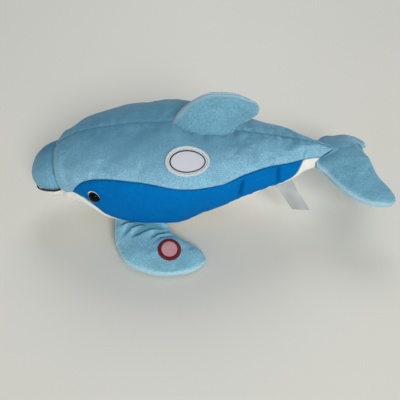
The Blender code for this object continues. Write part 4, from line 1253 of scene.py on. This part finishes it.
def side_patch():
    length, width = (size - 2 * PATCH_BORDER_RADIUS for size in (PATCH_LENGTH, PATCH_WIDTH))
    share = np.linspace(0.0, 1.0, 17)[:, None]
    puff = GAP + PATCH_THICKNESS + PATCH_PUFF * (1 - share**2)
    turn = np.linspace(0, FULL_TURN, 181)[None, :]
    points = oval_points(length * share, width * share, turn, puff)
    piece("patch_face", points, "patch_twill", "patch_white", "side_patch", weld=True)

    turn = circle(PATCH_BORDER_STITCHES * 6)
    middle, higher = (
        oval_points(length, width, turn, GAP + PATCH_BORDER_RADIUS * k) for k in (0.75, 1.75)
    )
    ahead = np.roll(middle, -1, axis=0) - np.roll(middle, 1, axis=0)
    ridge = np.abs(np.sin(turn[:, None] * PATCH_BORDER_STITCHES / 2 + circle(14) * 0.5))
    radius = PATCH_BORDER_RADIUS * (0.93 + 0.13 * ridge)
    points = closed_rows(tube_points(middle, ahead, unit(higher - middle), radius))
    piece("patch_overlock_edge", points, "patch_overlock", "patch_rim", "side_patch_border", wrap=True)

    turn = circle(PATCH_RING_STITCHES * 4)[:, None]
    share = np.linspace(0.0, 1.0, 7)[None, :]
    lift = GAP + PATCH_THICKNESS + 0.00025 + 0.00035 * np.sin(math.pi * share)
    lift = lift + 0.00006 * np.sin(turn * PATCH_RING_STITCHES)
    less = 2 * PATCH_RING_INSET + 2 * PATCH_RING_BAND * (1 - share)
    points = closed_rows(oval_points(PATCH_LENGTH - less, PATCH_WIDTH - less, turn, lift))
    piece("patch_ring_stitch", points, "navy_satin_stitch", "navy_thread", "side_patch_ring")


def press_patch(flipper):
    surface = surface_of(flipper)

    def disc(radius, turn, lift):
        """Points over the flipper's cloth, round the patch's middle."""
        x, y = np.broadcast_arrays(PRESS_X + radius * np.cos(turn), PRESS_Y + radius * np.sin(turn))
        z = np.empty(x.shape)
        for i in np.ndindex(x.shape):
            z[i] = surface.ray_cast(Vector((x[i], y[i], 0.2)), Vector((0, 0, -1)))[0].z
        return np.stack([x, y, z + lift], -1)

    share = np.linspace(0.0, 1.0, 11)
    inner = (PRESS_RADIUS - PRESS_RING_BAND + 0.0004) * share[:, None]
    turn = np.linspace(0, FULL_TURN, 97)[None, :]
    points = disc(inner, turn, GAP + PRESS_THICKNESS - 0.0002 * share[:, None])
    piece("press_face", points, "press_twill", "patch_white", "press_patch", weld=True)

    turn = circle(PRESS_RING_STITCHES * 4)[:, None]
    arch = np.sin(math.pi * share)
    lift = GAP + 0.0001 + (PRESS_THICKNESS + 0.0002) * arch ** 0.45
    lift = lift + 0.00008 * np.sin(turn * PRESS_RING_STITCHES) * arch
    points = closed_rows(disc(PRESS_RADIUS - PRESS_RING_STITCH * (1 - share), turn, lift))
    piece("press_ring_stitch", points, "red_satin_stitch", "red_thread", "press_patch_ring")


def mouth_line():
    """Black satin stitch on the seam between beak and jaw."""
    mouth_x = MOUTH_EDGE[0][0]
    start = mouth_x + POINT_GAP
    stations = start + (MOUTH_LINE_END_X - start) * np.linspace(0.0, 1.0, 90) ** 1.6
    lift = GAP + MOUTH_LINE_RADIUS * 0.6
    angle = white_edge(stations)
    angle = angle - MOUTH_LINE_RISE / arc_rate(stations, angle)
    stations = stations - MOUTH_LINE_FORWARD * bell(stations - mouth_x, MOUTH_LINE_FORWARD_REACH)
    path = np.concatenate([
        body_points(stations[::-1], angle[::-1], lift),
        body_points([mouth_x - MOUTH_LINE_FORWARD], math.pi, lift),
        body_points(stations, -angle, lift),
    ], axis=0)
    run = run_along(path)
    even = np.linspace(0.0, run[-1], 420)
    path = read_path(path, run, even)
    ahead = unit(np.gradient(path, axis=0))
    out = path - path.mean(axis=0)
    out = unit(out - ahead * (out * ahead).sum(-1, keepdims=True))
    ends = np.minimum(np.minimum(even, even[-1] - even) / MOUTH_LINE_TAPER, 1.0) ** 0.5
    wave = np.abs(np.sin(even[:, None] * math.pi / MOUTH_STITCH_PITCH + circle(10) * 0.5))
    radius = MOUTH_LINE_RADIUS * np.maximum(ends, 0.05)[:, None] * (0.92 + 0.14 * wave)
    points = tube_points(path, ahead, out, radius, 1.15)
    piece("mouth_satin_stitch", points, "black_satin_stitch", "black_thread", "mouth_line", wrap=True)


def care_label():
    """Folded satin ribbon, its two ends sewn to the belly."""
    fold = (LABEL_OPEN + LABEL_THICKNESS) / 2
    held_open = (GAP + LABEL_THICKNESS) / 2
    lift = GAP + LABEL_THICKNESS / 2 + held_open
    ahead = Vector((1.0, 0.0, 0.02)).normalized()
    down = Vector(LABEL_DIRECTION).normalized()
    out = ahead.cross(down).normalized()
    if out.y > 0:
        out = -out
    shares_down = np.linspace(0.0, 1.0, 37)
    straight = [(k * LABEL_DROP, LABEL_SAG * math.sin(math.pi * k)) for k in shares_down]
    path = [(drop, fold + sag) for drop, sag in straight]
    path += [
        (LABEL_DROP + fold * math.cos(a), fold * math.sin(a))
        for a in np.linspace(math.pi / 2, -math.pi / 2, 12)[1:-1]
    ]
    path += [(drop, sag - fold) for drop, sag in straight[::-1]]
    columns = np.linspace(-0.5, 0.5, 17)
    seams = [Vector(body_points(LABEL_X + LABEL_WIDTH * k, LABEL_ANGLE, lift)) for k in columns]
    root = Vector(body_points(LABEL_X, LABEL_ANGLE, lift))
    rows = []
    for drop, stand in path:
        twist = LABEL_TWIST * drop / LABEL_DROP
        width = ahead * math.cos(twist) + out * math.sin(twist)
        held = max(1.0 - drop / (LABEL_DROP / 3), 0.0) ** 2
        if drop < LABEL_DROP:
            stand -= math.copysign((fold - held_open) * held, stand)
        row = []
        for k, seam in zip(columns, seams):
            hung = root + width * (LABEL_WIDTH * k)
            curl = LABEL_CURL * math.sin(k * FULL_TURN + drop * 60) * (drop / LABEL_DROP)
            row.append(tuple(seam * held + hung * (1 - held) + down * drop + out * (stand + curl)))
        rows.append(row)
    made = piece("satin_care_label", np.array(rows), "ribbon_satin", "label_satin", "care_label")


def inner_nodes():
    """The washers and the sound puck stay as packed, with their own plastics."""
    for name, material in (
        ("eye_washer_left", "washer_plastic"), ("eye_washer_right", "washer_plastic"),
        ("sound_puck", "puck_plastic"),
    ):
        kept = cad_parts[name].data.materials
        kept.clear()
        kept.append(bpy.data.materials[material])


# Stage

def linked(name, data):
    """A new object in the scene."""
    made = bpy.data.objects.new(name, data)
    bpy.context.scene.collection.objects.link(made)
    return made


def floor():
    s = Shader("pale_floor", (222, 221, 213), 0.55)
    s.look(base_color=s.shade(s.noise(3.0, 2.0), 0.3, 0.7, 0.985, 1.01))
    mesh = bpy.data.meshes.new("floor")
    corners = [(FLOOR_HALF * x, FLOOR_HALF * y, 0) for x, y in ((-1, -1), (1, -1), (1, 1), (-1, 1))]
    mesh.from_pydata(corners, [], [(0, 1, 2, 3)])
    mesh.materials.append(s.material)
    linked("floor", mesh)


def turn_to(obj, target):
    """Turns a lamp or a camera at its place towards the target."""
    obj.rotation_euler = (Vector(target) - obj.location).to_track_quat("-Z", "Y").to_euler()


def light():
    world = bpy.data.worlds.new("studio")
    bpy.context.scene.world = world
    world.use_nodes = True
    background = world.node_tree.nodes["Background"]
    background.inputs["Color"].default_value = (0.96, 0.98, 1.0, 1.0)
    background.inputs["Strength"].default_value = 0.36
    for name, place, size, power, colour in LAMPS:
        data = bpy.data.lights.new(name, "AREA")
        data.shape = "DISK"
        data.size = size
        data.energy = power
        data.color = colour
        made = linked(name, data)
        made.location = place
        turn_to(made, LAMP_AIM)


def camera():
    data = bpy.data.cameras.new("photo_view")
    data.sensor_width = 36.0
    data.lens = CAMERA_FOCAL_PIXELS * data.sensor_width / IMAGE_WIDTH
    data.clip_start = 0.01
    made = linked("photo_view", data)
    back = Vector((0.0, -math.cos(CAMERA_PITCH), math.sin(CAMERA_PITCH)))
    made.location = Vector(CAMERA_AIM) + back * CAMERA_DISTANCE
    turn_to(made, CAMERA_AIM)
    bpy.context.scene.camera = made


bpy.context.scene.view_settings.view_transform = "Standard"
materials()
body()
left_flipper = fins()
eyes()
side_patch()
press_patch(left_flipper)
mouth_line()
care_label()
inner_nodes()
floor()
light()
camera()
